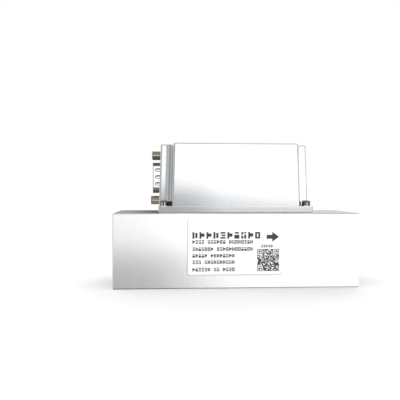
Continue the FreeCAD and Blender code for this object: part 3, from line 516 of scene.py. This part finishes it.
pressed_steel, graph = new_finish("pressed_steel")
spot, x, y, z = graph.place()
haze = graph.grain(spot, 1.2 * mm, 4.0)
fine = graph.grain(spot, 0.2 * mm)
close_finish(graph, {"Base Color": graph.mixed(haze, (0.56, 0.54, 0.51, 1), (0.68, 0.66, 0.63, 1)),
                     "Metallic": 1.0, "Roughness": 0.22 + haze * 0.14,
                     "Normal": graph.raised(fine, 0.004 * mm)})
dress(pressed_steel, "clock_crystal", "sensor_screws", "housing_washers")

# Solder: a bright cone of tin round each pin where it leaves a board, and a long bead along each tail
# of the plug connector on the faces of the main board.
quarter = math.pi / 2
cooled_solder = grained("cooled_solder", 0.25, 2.0, (0.66, 0.65, 0.62), (0.82, 0.81, 0.79), (0.18, 0.2),
                        0.01, 1.0)

joint_inputs = [("Count", "NodeSocketInt", 6), ("Spacing", "NodeSocketVector", (2 * mm, 0, 0)),
                ("Start", "NodeSocketVector", (0, 0, 0)), ("Foot", "NodeSocketFloat", 0.75 * mm),
                ("Height", "NodeSocketFloat", 0.6 * mm), ("Stretch", "NodeSocketVector", (1, 1, 1)),
                ("Turn", "NodeSocketRotation", None), ("Finish", "NodeSocketMaterial", None)]
joint_tree, graph, given = new_shape("solder_joints", joint_inputs)
row = graph.node("GeometryNodeMeshLine", None, {"Count": given.out("Count"), "Offset": given.out("Spacing"),
                                                "Start Location": given.out("Start")})
cone = graph.node("GeometryNodeMeshCone", None, {
    "Vertices": 14, "Side Segments": 3, "Depth": given.out("Height"),
    "Radius Top": given.out("Foot") * 0.45, "Radius Bottom": given.out("Foot")})
cones = graph.node("GeometryNodeInstanceOnPoints", None, {
    "Points": row, "Instance": cone, "Rotation": given.out("Turn"), "Scale": given.out("Stretch")})
close_shape(graph, cones, given)


def solder_joints(name, count, start, spacing, foot, height, stretch=(1, 1, 1), turn=(0, 0, 0)):
    return shaped(name, joint_tree, {
        "Count": count, "Start": [value * mm for value in start], "Finish": cooled_solder,
        "Spacing": [value * mm for value in spacing], "Foot": foot * mm, "Height": height * mm,
        "Stretch": stretch, "Turn": turn})


joints = [
    solder_joints("joint", 6, (3, -4, 47.65), (2, 0, 0), 0.7, 0.5),
    solder_joints("joint", 6, (1.65, 2.07, 46.55), (2.54, 0, 0), 0.8, 0.6, turn=(2 * quarter, 0, 0)),
    solder_joints("joint", 5, (-31.0, -0.85, 53.46), (0, 0, 2.77), 0.75, 0.9, (1.9, 1, 1), (quarter, 0, 0)),
    solder_joints("joint", 4, (-31.0, 0.85, 54.845), (0, 0, 2.77), 0.75, 0.9, (1.9, 1, 1), (-quarter, 0, 0)),
]
solder = gathered("solder_beads", joints)
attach(solder, "root")

# Housing: a box with drafted walls, cast in aluminium under pressure and blasted to a satin grain a
# little coarser and cooler than the body's. Its foot's edge is rounded, and shade is painted dark at the
# foot of the screw notches. A grey pressed gasket seals it to the body.
dress(grained("pressed_gasket", 0.4, 4.0, (0.20, 0.205, 0.20), (0.34, 0.345, 0.34), (0.6, 0.25), 0.02),
      "housing_gasket")

housing_middle = -0.75 * mm
foot_top = 43.6 * mm
roof_edge = 75 * mm
cast_housing, graph = new_finish("cast_housing")
spot, x, y, z = graph.place()
along, across, upward = graph.facing()
edge = (along.maths("MAXIMUM", across).maths("MAXIMUM", upward) < 0.9) * (z > roof_edge)
fine = graph.grain(spot, 0.3 * mm, 3.0)
coarse = graph.grain(spot, 1.0 * mm, 3.0)
flow = graph.grain(spot, 14 * mm, 4.0)
speckle = graph.mixed(fine * 0.5 + coarse * 0.5, (0.72, 0.735, 0.755, 1), (0.93, 0.94, 0.95, 1))
metal = graph.mixed(edge, speckle, (0.88, 0.89, 0.90, 1))
from_middle = abs(x - housing_middle)
# Painted shade: the foot of each screw notch, beside the screw heads, is coloured dark and made rougher.
foot_width = (from_middle > 34.1 * mm) * (from_middle < 37.5 * mm) * (abs(y) < 18.8 * mm)
notch_foot_shade = foot_width * (z > foot_top + 0.1 * mm) * (z + fine * 0.5 * mm < foot_top + 2.7 * mm)
notch_shade_color = graph.mixed(coarse, (0.02, 0.022, 0.024, 1), (0.13, 0.135, 0.14, 1))
rounding = graph.node("ShaderNodeMapRange", None, {0: z, 1: foot_top - 0.5 * mm, 2: foot_top})
rounding = rounding * (z < foot_top + 0.01 * mm)
relief = (fine * 0.5 + coarse * 0.5) * 0.2 - rounding ** 2 * 0.5
close_finish(graph, {"Base Color": graph.mixed(notch_foot_shade, metal, notch_shade_color), "Metallic": 1.0,
                     "Roughness": 0.18 + fine * 0.07 + flow * 0.06 + notch_foot_shade * 0.2,
                     "Normal": graph.raised(relief, 0.07 * mm)})
dress(cast_housing, "housing")

# Housing screws: four socket screws of steel with a thin worn black, in the corner notches, on plain
# washers. Their round heads have a fine straight knurl and a rounded shoulder round the hexagon socket.
worn_steel, graph = new_finish("worn_steel")
spot, x, y, z = graph.place()
rub = graph.grain(spot, 0.8 * mm, 4.0)
color = graph.mixed(rub, (0.12, 0.11, 0.095, 1), (0.36, 0.34, 0.30, 1))
close_finish(graph, {"Base Color": color, "Metallic": 1.0, "Roughness": 0.18 + rub * 0.1,
                     "Normal": graph.raised(graph.grain(spot, 0.2 * mm), 0.004 * mm)})

turned_inputs = [("Around", "NodeSocketInt", 128), ("Flats", "NodeSocketFloat", 2.0 * mm),
                 ("Rounding", "NodeSocketFloat", 0.05 * mm), ("Ridges", "NodeSocketInt", 32),
                 ("Knurl", "NodeSocketFloat", 0.03 * mm), ("Finish", "NodeSocketMaterial", None)]


def turned_tree(name, reach, rise, rows):
    """Tree for a part turned from a hexagon bar or rod. Each row of its profile gives the radius it is
    turned to, the height, whether the bar's flats stay, and how deep the knurl goes."""
    tree, graph, given = new_shape(name, turned_inputs)
    lathe = graph.node("GeometryNodeMeshGrid", None, {"Size X": 1.0, "Size Y": 1.0, "Vertices Y": len(rows),
                                                      "Vertices X": given.out("Around") + 1})
    parts = graph.node("ShaderNodeSeparateXYZ", None, {0: graph.node("GeometryNodeInputPosition")})
    stops = [(index / (len(rows) - 1), (radius / reach, height / rise, flats, knurl))
             for index, (radius, height, flats, knurl) in enumerate(rows)]
    profile = graph.node("ShaderNodeValToRGB", {"stops": stops}, {0: parts.out(1) + 0.5})
    row = graph.node("FunctionNodeSeparateColor", None, {0: profile})
    turned_to, height = row.out(0) * (reach * mm), row.out(1) * (rise * mm)
    angle = parts.out(0) * (2 * math.pi)
    apothem, rounding = given.out("Flats") / 2, given.out("Rounding")
    tilt = abs((angle / (math.pi / 3) + 0.5).maths("FRACT") - 0.5) * (math.pi / 3)
    from_corner = math.pi / 6 - tilt
    inner = (apothem - rounding) / math.cos(math.pi / 6)
    bend_start = math.pi / 6 - (inner / 2 / apothem).maths("ARCTANGENT")
    bend = inner * from_corner.maths("COSINE") + (
        rounding ** 2 - (inner * from_corner.maths("SINE")) ** 2).maths("MAXIMUM", 0.0) ** 0.5
    hexagon = graph.chosen(from_corner < bend_start, apothem / tilt.maths("COSINE"), bend)
    ridge = 1 - abs((angle * given.out("Ridges") / 2).maths("SINE"))
    radius = graph.chosen(row.out(2), turned_to, hexagon.maths("MINIMUM", turned_to))
    radius = radius - ridge * profile.out(1) * given.out("Knurl")
    spot = graph.node("ShaderNodeCombineXYZ", None, {0: radius * angle.maths("COSINE"),
                                                     1: radius * angle.maths("SINE"), 2: height})
    turned = graph.node("GeometryNodeSetPosition", None, {"Geometry": lathe, "Position": spot})
    close_shape(graph, graph.node("GeometryNodeMergeByDistance", None,
                                  {"Geometry": turned, "Distance": 0.0005 * mm}), given)
    return tree


def creased(piece):
    piece.data.set_sharp_from_angle(angle=math.radians(30))
    return piece


screw_low, screw_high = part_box("housing_screws")
head_radius, shank_radius, socket_corner = 2.25, 1.25, 1.16
screw_length, head_top, socket_foot, shoulder = 10.0, 12.5, 11.2, 0.75
screw_rows = [(0, 0, 0, 0), (0.95, 0, 0, 0), (shank_radius, 0.3, 0, 0), (shank_radius, screw_length, 0, 0),
              (2.1, screw_length, 0, 0), (head_radius, 10.15, 0, 0), (head_radius, 10.2, 0, 1),
              (head_radius, 11.6, 0, 1), (head_radius, 11.7, 0, 0)]
screw_rows += [(head_radius - shoulder * (1 - math.cos(turn)), head_top - shoulder * (1 - math.sin(turn)),
                0, 0) for turn in (0.1, 0.4, 0.7, 1.0, 1.3, quarter)]
screw_rows += [(1.25, head_top, 0, 0), (socket_corner, 12.42, 0, 0), (socket_corner, 12.4, 1, 0),
               (socket_corner, socket_foot + 0.05, 1, 0), (0, socket_foot, 0, 0)]
screw_tree = turned_tree("socket_screw", head_radius, head_top, screw_rows)
screws = creased(gathered("socket_screws", [
    shaped("screw", screw_tree, {"Finish": worn_steel}, axis_place(x, y, screw_low.z, (0, 0, 1)))
    for x in (screw_low.x + head_radius * mm, screw_high.x - head_radius * mm)
    for y in (screw_low.y + head_radius * mm, screw_high.y - head_radius * mm)]))
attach(screws, "root")
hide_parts("housing_screws")

# Plug connector: a shroud and two flanges drawn from sheet steel and plated bright, with dark reflection
# and shade painted round the bends, the lip and the creases of the dents. Long dents pressed into it grip
# the plug. Two hexagon posts turned from plated brass bar take the plug's screws.
shell_low, shell_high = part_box("connector_shell")
connector_z = 59 * mm
dent_pitch, dents_z = 3.85 * mm, connector_z + 0.4 * mm
plated_shell, graph = new_finish("plated_shell")
spot, x, y, z = graph.place()
haze = graph.grain(spot, 1.4 * mm, 4.0)
drawn = graph.lines(y + z, 0.25 * mm)
# Painted reflection and shade: the plate is coloured dark round the bends, along the lip and in the dent
# creases.
bend = graph.node("ShaderNodeMapRange", None,
                  {0: abs(z - connector_z - 0.6 * mm), 1: 5.6 * mm, 2: 6.1 * mm}) * (x < -39.6 * mm)
lip_shade = (x < shell_low.x + 0.45 * mm) * 0.8
from_crease = abs(((z - dents_z - 0.75 * mm) / dent_pitch + 0.5).maths("FRACT") - 0.5) * dent_pitch
dented = (abs(x + 42.0 * mm) < 1.9 * mm) * (abs(z - dents_z) < 5.1 * mm) * (abs(y) > 3.6 * mm)
painted_shell_shade = bend.maths("MAXIMUM", lip_shade).maths("MAXIMUM", (from_crease < 0.25 * mm) * dented)
bright_plate = graph.mixed(haze, (0.80, 0.78, 0.75, 1), (0.93, 0.92, 0.90, 1))
shell_shade_color = graph.mixed(haze, (0.09, 0.072, 0.06, 1), (0.34, 0.29, 0.245, 1))
close_finish(graph, {"Base Color": graph.mixed(painted_shell_shade, bright_plate, shell_shade_color), "Metallic": 1.0,
                     "Roughness": 0.16 + haze * 0.12 + bend * 0.1,
                     "Normal": graph.raised(drawn, 0.002 * mm)})
dress(plated_shell, "connector_rear_shell", "jackscrew_washers", "jackscrew_nuts")

sheet, bend_radius, seat_x = 0.45 * mm, 2.4 * mm, shell_high.x - 0.5 * mm
bends = ((1.78, -5.42, -80, 0, 54), (1.78, 5.42, 0, 80, 2),
         (-1.78, 6.05, 80, 180, 60), (-1.78, -6.05, 180, 280, 2))
dent_places = [dents_z - connector_z + step * dent_pitch for step in (-1, 0, 1)]
dent_half, dent_depth, dent_middle, dent_length = 0.95 * mm, 0.5 * mm, -42.5 * mm, 1.9 * mm
ring = []
for index, (y, z, first, last, steps) in enumerate(bends):
    ring += [(y * mm, z * mm, math.radians(first + (last - first) * step / 10)) for step in range(11)]
    next_y, next_z = bends[(index + 1) % 4][:2]
    ring += [((y + (next_y - y) * step / steps) * mm, (z + (next_z - z) * step / steps) * mm,
              math.radians(last)) for step in range(1, steps)]


def dent(x, z, turn):
    """How far the sheet is pressed in at this place of a long side."""
    if abs(math.sin(turn)) > 0.01:
        return 0
    beyond = max(abs(x - dent_middle) - dent_length / 2, 0)
    from_dent = math.hypot(min(abs(z - place) for place in dent_places), beyond)
    return dent_depth * min(max(1.5 * (1 - from_dent / dent_half), 0), 1)


length_steps = 30
stations = [(seat_x + (shell_low.x + sheet / 2 - seat_x) * step / length_steps, bend_radius)
            for step in range(length_steps + 1)]
stations += [(shell_low.x + sheet / 2 * (1 - math.sin(turn)), bend_radius - sheet / 2 * (1 - math.cos(turn)))
             for turn in (quarter / 2, quarter, 3 * quarter / 2)]
stations += [(x, bend_radius - sheet) for x, _ in reversed(stations[:length_steps + 1])]
stations.append((shell_high.x, bend_radius - sheet))
shell_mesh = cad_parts["connector_shell"].data.copy()
work = bmesh.new()
work.from_mesh(shell_mesh)
bmesh.ops.remove_doubles(work, verts=work.verts, dist=0.0005 * mm)
outside = [face for face in work.faces if min(vertex.co.x for vertex in face.verts) < seat_x - 0.02 * mm]
bmesh.ops.delete(work, geom=outside, context="FACES")
rings = []
for x, radius in stations:
    points = []
    for y, z, turn in ring:
        reach = radius - dent(x, z, turn)
        spot = (x, y + reach * math.cos(turn), connector_z + z + reach * math.sin(turn))
        points.append(work.verts.new(spot))
    rings.append(points)
for near, far in zip(rings, rings[1:]):
    for index in range(len(ring)):
        after = (index + 1) % len(ring)
        work.faces.new((near[index], far[index], far[after], near[after]))
work.to_mesh(shell_mesh)
work.free()
shell_mesh.materials.clear()
shell_mesh.materials.append(plated_shell)
shell_mesh.polygons.foreach_set("material_index", [0] * len(shell_mesh.polygons))
shell_mesh.shade_smooth()
shell = creased(bpy.data.objects.new("plug_shell", shell_mesh))
bpy.context.collection.objects.link(shell)
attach(shell, "root")
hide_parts("connector_shell")

plated_post, graph = new_finish("plated_post")
spot, x, y, z = graph.place()
haze = graph.grain(spot, 0.6 * mm, 4.0)
drawn = graph.lines(y * 0.7 + z, 0.2 * mm)
close_finish(graph, {"Base Color": graph.mixed(haze, (0.26, 0.22, 0.19, 1), (0.62, 0.55, 0.47, 1)),
                     "Metallic": 1.0, "Roughness": 0.16 + haze * 0.1,
                     "Normal": graph.raised(drawn, 0.004 * mm)})
dress(plated_post, "board_spacers")

post_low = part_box("jackscrews")[0]
post_rise = 12.5 * mm
post_mouths = ((post_low.x, connector_z - post_rise), (post_low.x + 0.742 * mm, connector_z + post_rise))
post_bore, stud_radius, post_reach, post_height, post_length = 1.45, 1.4, 2.8, 4.8, 11.4
post_rows = [(0, 4.3, 0, 0), (post_bore, 4.2, 0, 0), (post_bore, 0.2, 0, 0), (1.65, 0, 0, 0)]
post_rows += [(2.36 + rise, rise, 1, 0) for rise in (0, 0.08, 0.16, 0.24, 0.32)]
post_rows += [(post_reach, 0.44, 1, 0), (post_reach, post_height, 1, 0), (stud_radius, post_height, 0, 0),
              (stud_radius, post_length, 0, 0), (0, post_length, 0, 0)]
post_tree = turned_tree("hexagon_post", post_reach, post_length, post_rows)
posts = creased(gathered("plug_posts", [
    shaped("post", post_tree, {"Around": 144, "Flats": 4.75 * mm, "Rounding": 0.75 * mm, "Ridges": 0,
                               "Knurl": 0.0, "Finish": plated_post},
           axis_place(x, 0, z, (1, 0, 0)))
    for x, z in post_mouths]))
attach(posts, "root")
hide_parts("jackscrews")
post_threads = gathered("post_threads", [
    thread_ridge("thread", post_bore * mm, 0.28 * mm, 0.635 * mm, 3.8 * mm, 24,
                 axis_place(x + 0.15 * mm, 0, z, (1, 0, 0)), plated_post)
    for x, z in post_mouths])
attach(post_threads, "root")

# Label: white plastic film with rounded corners, stuck to the front of the body, with shade painted grey
# along its left and lower rim. Its print is generic: rows of small blocks in place of words, an arrow along
# the flow, and a square of random cells.
rim_shade_width = 0.32 * mm
white_film, graph = new_finish("white_film")
spot, x, y, z = graph.place()
cloud = graph.grain(spot, 9 * mm, 3.0)
fine = graph.grain(spot, 0.25 * mm)
lower_left = (x < label_low.x + 1 * mm).maths("MAXIMUM", z < label_low.z + 1 * mm)
# Painted shade: the film is coloured grey along its left and lower rim.
painted_rim_shade = (from_label(x, z) > -rim_shade_width) * lower_left
film = graph.mixed(cloud, (0.77, 0.77, 0.765, 1), (0.81, 0.81, 0.805, 1))
close_finish(graph, {"Base Color": graph.mixed(painted_rim_shade, film, (0.47, 0.47, 0.46, 1)),
                     "Roughness": 0.42 + fine * 0.1, "Normal": graph.raised(fine, 0.004 * mm)})
dress(white_film, "rating_label")

black_ink, graph = new_finish("black_ink")
spot, x, y, z = graph.place()
fine = graph.grain(spot, 0.2 * mm, 3.0)
close_finish(graph, {"Base Color": graph.mixed(fine, (0.010, 0.010, 0.011, 1), (0.045, 0.045, 0.047, 1)),
                     "Roughness": 0.38 + fine * 0.15})

ink_back = label_low.y + 0.01 * mm
ink_front = label_low.y - 0.015 * mm
glyph_styles = (
    ((0, 0, 1, 0.25), (0, 0.75, 1, 1), (0, 0.25, 0.36, 0.75), (0.64, 0.25, 1, 0.75)),
    ((0, 0, 0.4, 1), (0.55, 0.1, 1, 0.9)),
    ((0, 0, 1, 0.25), (0.2, 0.38, 1, 0.62), (0, 0.75, 1, 1)),
    ((0, 0, 1, 0.58), (0.1, 0.75, 0.9, 1)),
    ((0, 0, 0.38, 1), (0.38, 0.3, 1, 0.8)),
    ((0, 0, 0.42, 0.45), (0, 0.6, 0.42, 1), (0.58, 0, 1, 0.6), (0.58, 0.75, 1, 1)),
)


def printed(name, patches):
    """Ink as thin raised patches, each given by the corners of its outline on the label's face."""
    points, faces = [], []
    for outline in patches:
        first, count = len(points), len(outline)
        points += [(x, ink_front, z) for x, z in outline] + [(x, ink_back, z) for x, z in outline]
        faces.append([first + index for index in range(count)])
        for index in range(count):
            after = (index + 1) % count
            faces.append([first + index, first + index + count, first + after + count, first + after])
    mesh = bpy.data.meshes.new(name)
    mesh.from_pydata(points, [], faces)
    mesh.materials.append(black_ink)
    piece = bpy.data.objects.new(name, mesh)
    bpy.context.collection.objects.link(piece)
    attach(piece, "root")
    return piece


def patch(left, base, right, top):
    return [(left, base), (right, base), (right, top), (left, top)]


def print_row(left, base, height, width, gap, words, seed):
    """One row of blocks, with a wider gap after each word."""
    choice = random.Random(seed)
    patches = []
    for letters in words:
        for _ in range(letters):
            patches += [patch(left + x0 * width, base + z0 * height, left + x1 * width, base + z1 * height)
                        for x0, z0, x1, z1 in choice.choice(glyph_styles)]
            left += width + gap
        left += width + gap
    return patches


row_left = -24.1 * mm
rows = print_row(row_left, 26.5 * mm, 3.5 * mm, 2.7 * mm, 1.0 * mm, (10,), 3)
for base, words, seed in ((23.8, (4, 6, 8), 5), (20.0, (7, 12), 7), (16.5, (5, 8), 11), (13.1, (3, 10), 13),
                          (9.2, (6, 2, 4), 17)):
    rows += print_row(row_left, base * mm, 1.95 * mm, 1.3 * mm, 0.32 * mm, words, seed)
rows += print_row(12.6 * mm, 21.7 * mm, 1.5 * mm, 0.9 * mm, 0.4 * mm, (5,), 19)
arrow_left, arrow_z, arrow_right = 15.4 * mm, 27.4 * mm, 22.0 * mm
shaft, barb, neck = 1.05 * mm, 2.7 * mm, 3.6 * mm
neck_x = arrow_right - neck
rows.append([(arrow_left, arrow_z - shaft), (neck_x, arrow_z - shaft), (neck_x, arrow_z - barb),
             (arrow_right, arrow_z), (neck_x, arrow_z + barb), (neck_x, arrow_z + shaft),
             (arrow_left, arrow_z + shaft)])
cell = 0.356 * mm
cell_count = 33
code_left, code_base = 10.35 * mm, 9.15 * mm
code_side = cell_count * cell
corner = 7 * cell
for left, base in ((code_left, code_base + code_side - corner), (code_left, code_base),
                   (code_left + code_side - corner, code_base + code_side - corner)):
    right, top = left + corner, base + corner
    rows += [patch(left, base, right, base + cell), patch(left, top - cell, right, top),
             patch(left, base + cell, left + cell, top - cell),
             patch(right - cell, base + cell, right, top - cell),
             patch(left + 2 * cell, base + 2 * cell, right - 2 * cell, top - 2 * cell)]
printed("label_print", rows)

empty_share = 0.28
code_inputs = [("Count", "NodeSocketInt", cell_count), ("Cell", "NodeSocketFloat", cell),
               ("Seed", "NodeSocketInt", 4), ("Finish", "NodeSocketMaterial", None)]
code_tree, graph, given = new_shape("random_cells", code_inputs)
span = (given.out("Count") - 1) * given.out("Cell")
places = graph.node("GeometryNodeMeshGrid", None, {
    "Size X": span, "Size Y": span, "Vertices X": given.out("Count"), "Vertices Y": given.out("Count")})
parts = graph.node("ShaderNodeSeparateXYZ", None, {0: graph.node("GeometryNodeInputPosition")})
column = parts.out(0) / given.out("Cell")
line = parts.out(1) / given.out("Cell")
half = (given.out("Count") - 1) / 2
corners = [(across < 7.5) * (up < 7.5) for across, up in (
    (column + half, line + half), (column + half, half - line), (half - column, half - line))]
chance = graph.node("FunctionNodeRandomValue", {"data_type": "FLOAT"}, {"Seed": given.out("Seed")}, 1)
empty = chance < empty_share
for corner in corners:
    empty = empty.maths("MAXIMUM", corner)
kept = graph.node("GeometryNodeDeleteGeometry", {"domain": "POINT"}, {"Geometry": graph.node(
    "GeometryNodeMeshToPoints", None, {"Mesh": places}), "Selection": empty > 0.5})
block = graph.node("GeometryNodeMeshCube", None, {"Size": graph.node("ShaderNodeCombineXYZ", None, {
    0: given.out("Cell") * 1.001, 1: given.out("Cell") * 1.001, 2: 0.025 * mm})})
blocks = graph.node("GeometryNodeInstanceOnPoints", None, {"Points": kept, "Instance": block})
close_shape(graph, blocks, given, False)
code_centre = (code_left + code_side / 2, (ink_front + ink_back) / 2, code_base + code_side / 2)
cells = shaped("label_code", code_tree, {"Finish": black_ink},
               Matrix.Translation(code_centre) @ Matrix.Rotation(quarter, 4, "X"))
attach(cells, "root")

# Studio: a plain white floor, and a white dome that polished metal sees as a grey room. Soft boxes in
# front light body and housing, small ones give the screws and posts their glints, and one hangs behind.
# The camera is straight in front of the label at the photograph's distance.
floor_mesh = bpy.data.meshes.new("floor")
floor_reach = 4.0
floor_mesh.from_pydata([(-floor_reach, -floor_reach, 0), (floor_reach, -floor_reach, 0),
                        (floor_reach, floor_reach, 0), (-floor_reach, floor_reach, 0)], [], [(0, 1, 2, 3)])
floor = bpy.data.objects.new("floor", floor_mesh)
bpy.context.collection.objects.link(floor)
floor_paint, graph = new_finish("floor_paint")
spot, x, y, z = graph.place()
paint = graph.mixed(graph.grain(spot, 0.2), (0.93, 0.93, 0.93, 1), (0.95, 0.95, 0.95, 1))
close_finish(graph, {"Base Color": paint, "Roughness": 0.9, "Specular IOR Level": 0.1})
floor_mesh.materials.append(floor_paint)
floor.visible_glossy = False
floor.visible_shadow = False

world = bpy.data.worlds.new("studio")
bpy.context.scene.world = world
world.use_nodes = True
world.node_tree.nodes.clear()
world.cycles.sampling_method = "NONE"
graph = Graph(world.node_tree)
way = graph.node("ShaderNodeTexCoord", output="Generated")
direction = graph.node("ShaderNodeSeparateXYZ", None, {0: way})
rays = graph.node("ShaderNodeLightPath")
seen = rays.out("Is Camera Ray")
diffuse = rays.out("Is Diffuse Ray")
white = seen.maths("MAXIMUM", diffuse)


def greys(place, *stops):
    """A ramp of greys: each stop's place, its brightness, and how cool or, below 0, how warm it is."""
    shades = [(at, (shade - cool, shade, shade + cool, 1)) for at, shade, cool in stops]
    return graph.node("ShaderNodeValToRGB", {"stops": shades}, {0: place})


level = greys(direction.out(1) * 0.5 + 0.5, (0.0, 0.456, 0.004), (0.055, 0.34, 0), (0.115, 0.75, 0.01),
              (0.17, 0.56, 0), (0.25, 0.31, 0), (0.53, 0.36, 0), (0.61, 0.95, 0), (1.0, 0.90, 0))
steep = graph.node("ShaderNodeMapRange", None, {0: abs(direction.out(2)), 1: 0.5, 2: 0.85})
below = greys(direction.out(0) * 2 + 0.3, (0.0, 0.02, 0), (1.0, 0.40, 0))
above_or_below = graph.mixed(direction.out(2) > 0, below, (0.52, 0.53, 0.54, 1))
behind = greys(direction.out(0) * 0.5 + 0.5, (0.0, 0.90, 0), (0.33, 0.66, 0), (0.41, 0.547, -0.003),
               (0.455, 0.317, -0.003), (0.48, 0.05, 0), (0.52, 0.06, 0), (0.58, 0.597, -0.003),
               (1.0, 0.90, 0))
facing_back = graph.node("ShaderNodeMapRange", None, {0: direction.out(1), 1: 0.82, 2: 0.93})
room = graph.mixed(steep, graph.mixed(facing_back, level, behind), above_or_below)
color = graph.mixed(white, room, (1, 1, 1, 1))
light = graph.node("ShaderNodeBackground", None, {"Color": color, "Strength": 1 + diffuse * 0.15})
graph.node("ShaderNodeOutputWorld", None, {"Surface": light})


def soft_lamp(name, place, target, width, height, radiance, roll=0.0):
    """A rectangular soft box; its radiance is the brightness of its white cloth."""
    lamp = bpy.data.lights.new(name, "AREA")
    lamp.shape = "RECTANGLE"
    lamp.size, lamp.size_y = width, height
    lamp.energy = radiance * math.pi * width * height
    holder = bpy.data.objects.new(name, lamp)
    bpy.context.collection.objects.link(holder)
    aim = (Vector(target) - Vector(place)).to_track_quat("-Z", "Y").to_matrix().to_4x4()
    holder.matrix_world = Matrix.Translation(Vector(place)) @ aim @ Matrix.Rotation(roll, 4, "Z")
    holder.visible_camera = False
    return holder


def front_lamp(name, distance, corner, width, height, slope, radiance):
    """Soft box upright before the object, by its lower left corner and the slope of its lower edge."""
    along = Vector((math.cos(slope), 0, -math.sin(slope)))
    rise = Vector((math.sin(slope), 0, math.cos(slope)))
    start = Vector((corner[0], bar_front - distance, corner[1]))
    centre = start + along * (width / 2) + rise * (height / 2)
    return soft_lamp(name, centre, centre + Vector((0, 1, 0)), width, height, radiance, -slope)


def lamp_reach(lamp, state, *pieces):
    """Limits a lamp to these pieces, or keeps it off them."""
    group = bpy.data.collections.new(lamp.name + "_reach")
    for piece in pieces:
        group.objects.link(piece)
    lamp.light_linking.receiver_collection = group
    for entry in group.collection_objects:
        entry.light_linking.link_state = state


left_lamp = front_lamp("left_lamp", 0.140, (-0.28, 0.0013), 0.27, 0.17, 0.0, 0.66)
right_lamp = front_lamp("right_lamp", 0.736, (0.058, -0.5), 0.75, 1.0, math.radians(-8), 0.88)
housing_lamp = front_lamp("housing_lamp", 0.075, (-0.058, 0.0605), 0.203, 0.0515, math.radians(5), 0.95)
housing_strip = front_lamp("housing_strip", 0.180, (-0.0035, 0.024), 0.25, 0.045, 0.0, 0.54)
for lamp in (left_lamp, right_lamp):
    lamp_reach(lamp, "EXCLUDE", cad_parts["housing"], floor, screws, posts)
for lamp in (housing_lamp, housing_strip):
    lamp_reach(lamp, "INCLUDE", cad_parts["housing"])
for name, place, size, radiance, piece in (("left_glint", (-0.32, -0.18, 0.06), 0.07, 9.0, screws),
                                           ("right_glint", (0.10, -0.31, 0.06), 0.07, 9.0, screws),
                                           ("post_glint", (-0.05, -0.45, 0.07), 0.10, 7.0, posts)):
    glint = soft_lamp(name, place, (-0.04, -0.02, 0.045), size, size, radiance)
    lamp_reach(glint, "INCLUDE", piece)
soft_lamp("top_lamp", (0.3, 0.85, 0.9), (0, 0, 0.04), 0.7, 0.7, 0.9)

camera = bpy.data.cameras.new("camera")
camera.sensor_width = 36.0
camera.lens = 36.0 * 476.78 / 400
camera.clip_start = 0.01
camera.dof.use_dof = False
viewer = bpy.data.objects.new("camera", camera)
bpy.context.collection.objects.link(viewer)
turn = (Matrix.Rotation(-0.057, 4, "Z") @ Matrix.Rotation(-0.0213, 4, "X") @ Matrix.Rotation(-0.0011, 4, "Y")
        @ Matrix.Rotation(quarter, 4, "X"))
viewer.matrix_world = Matrix.Translation((-34.4155 * mm, -270.6933 * mm, 52.3122 * mm)) @ turn
scene = bpy.context.scene
scene.camera = viewer
scene.view_settings.view_transform = "Standard"
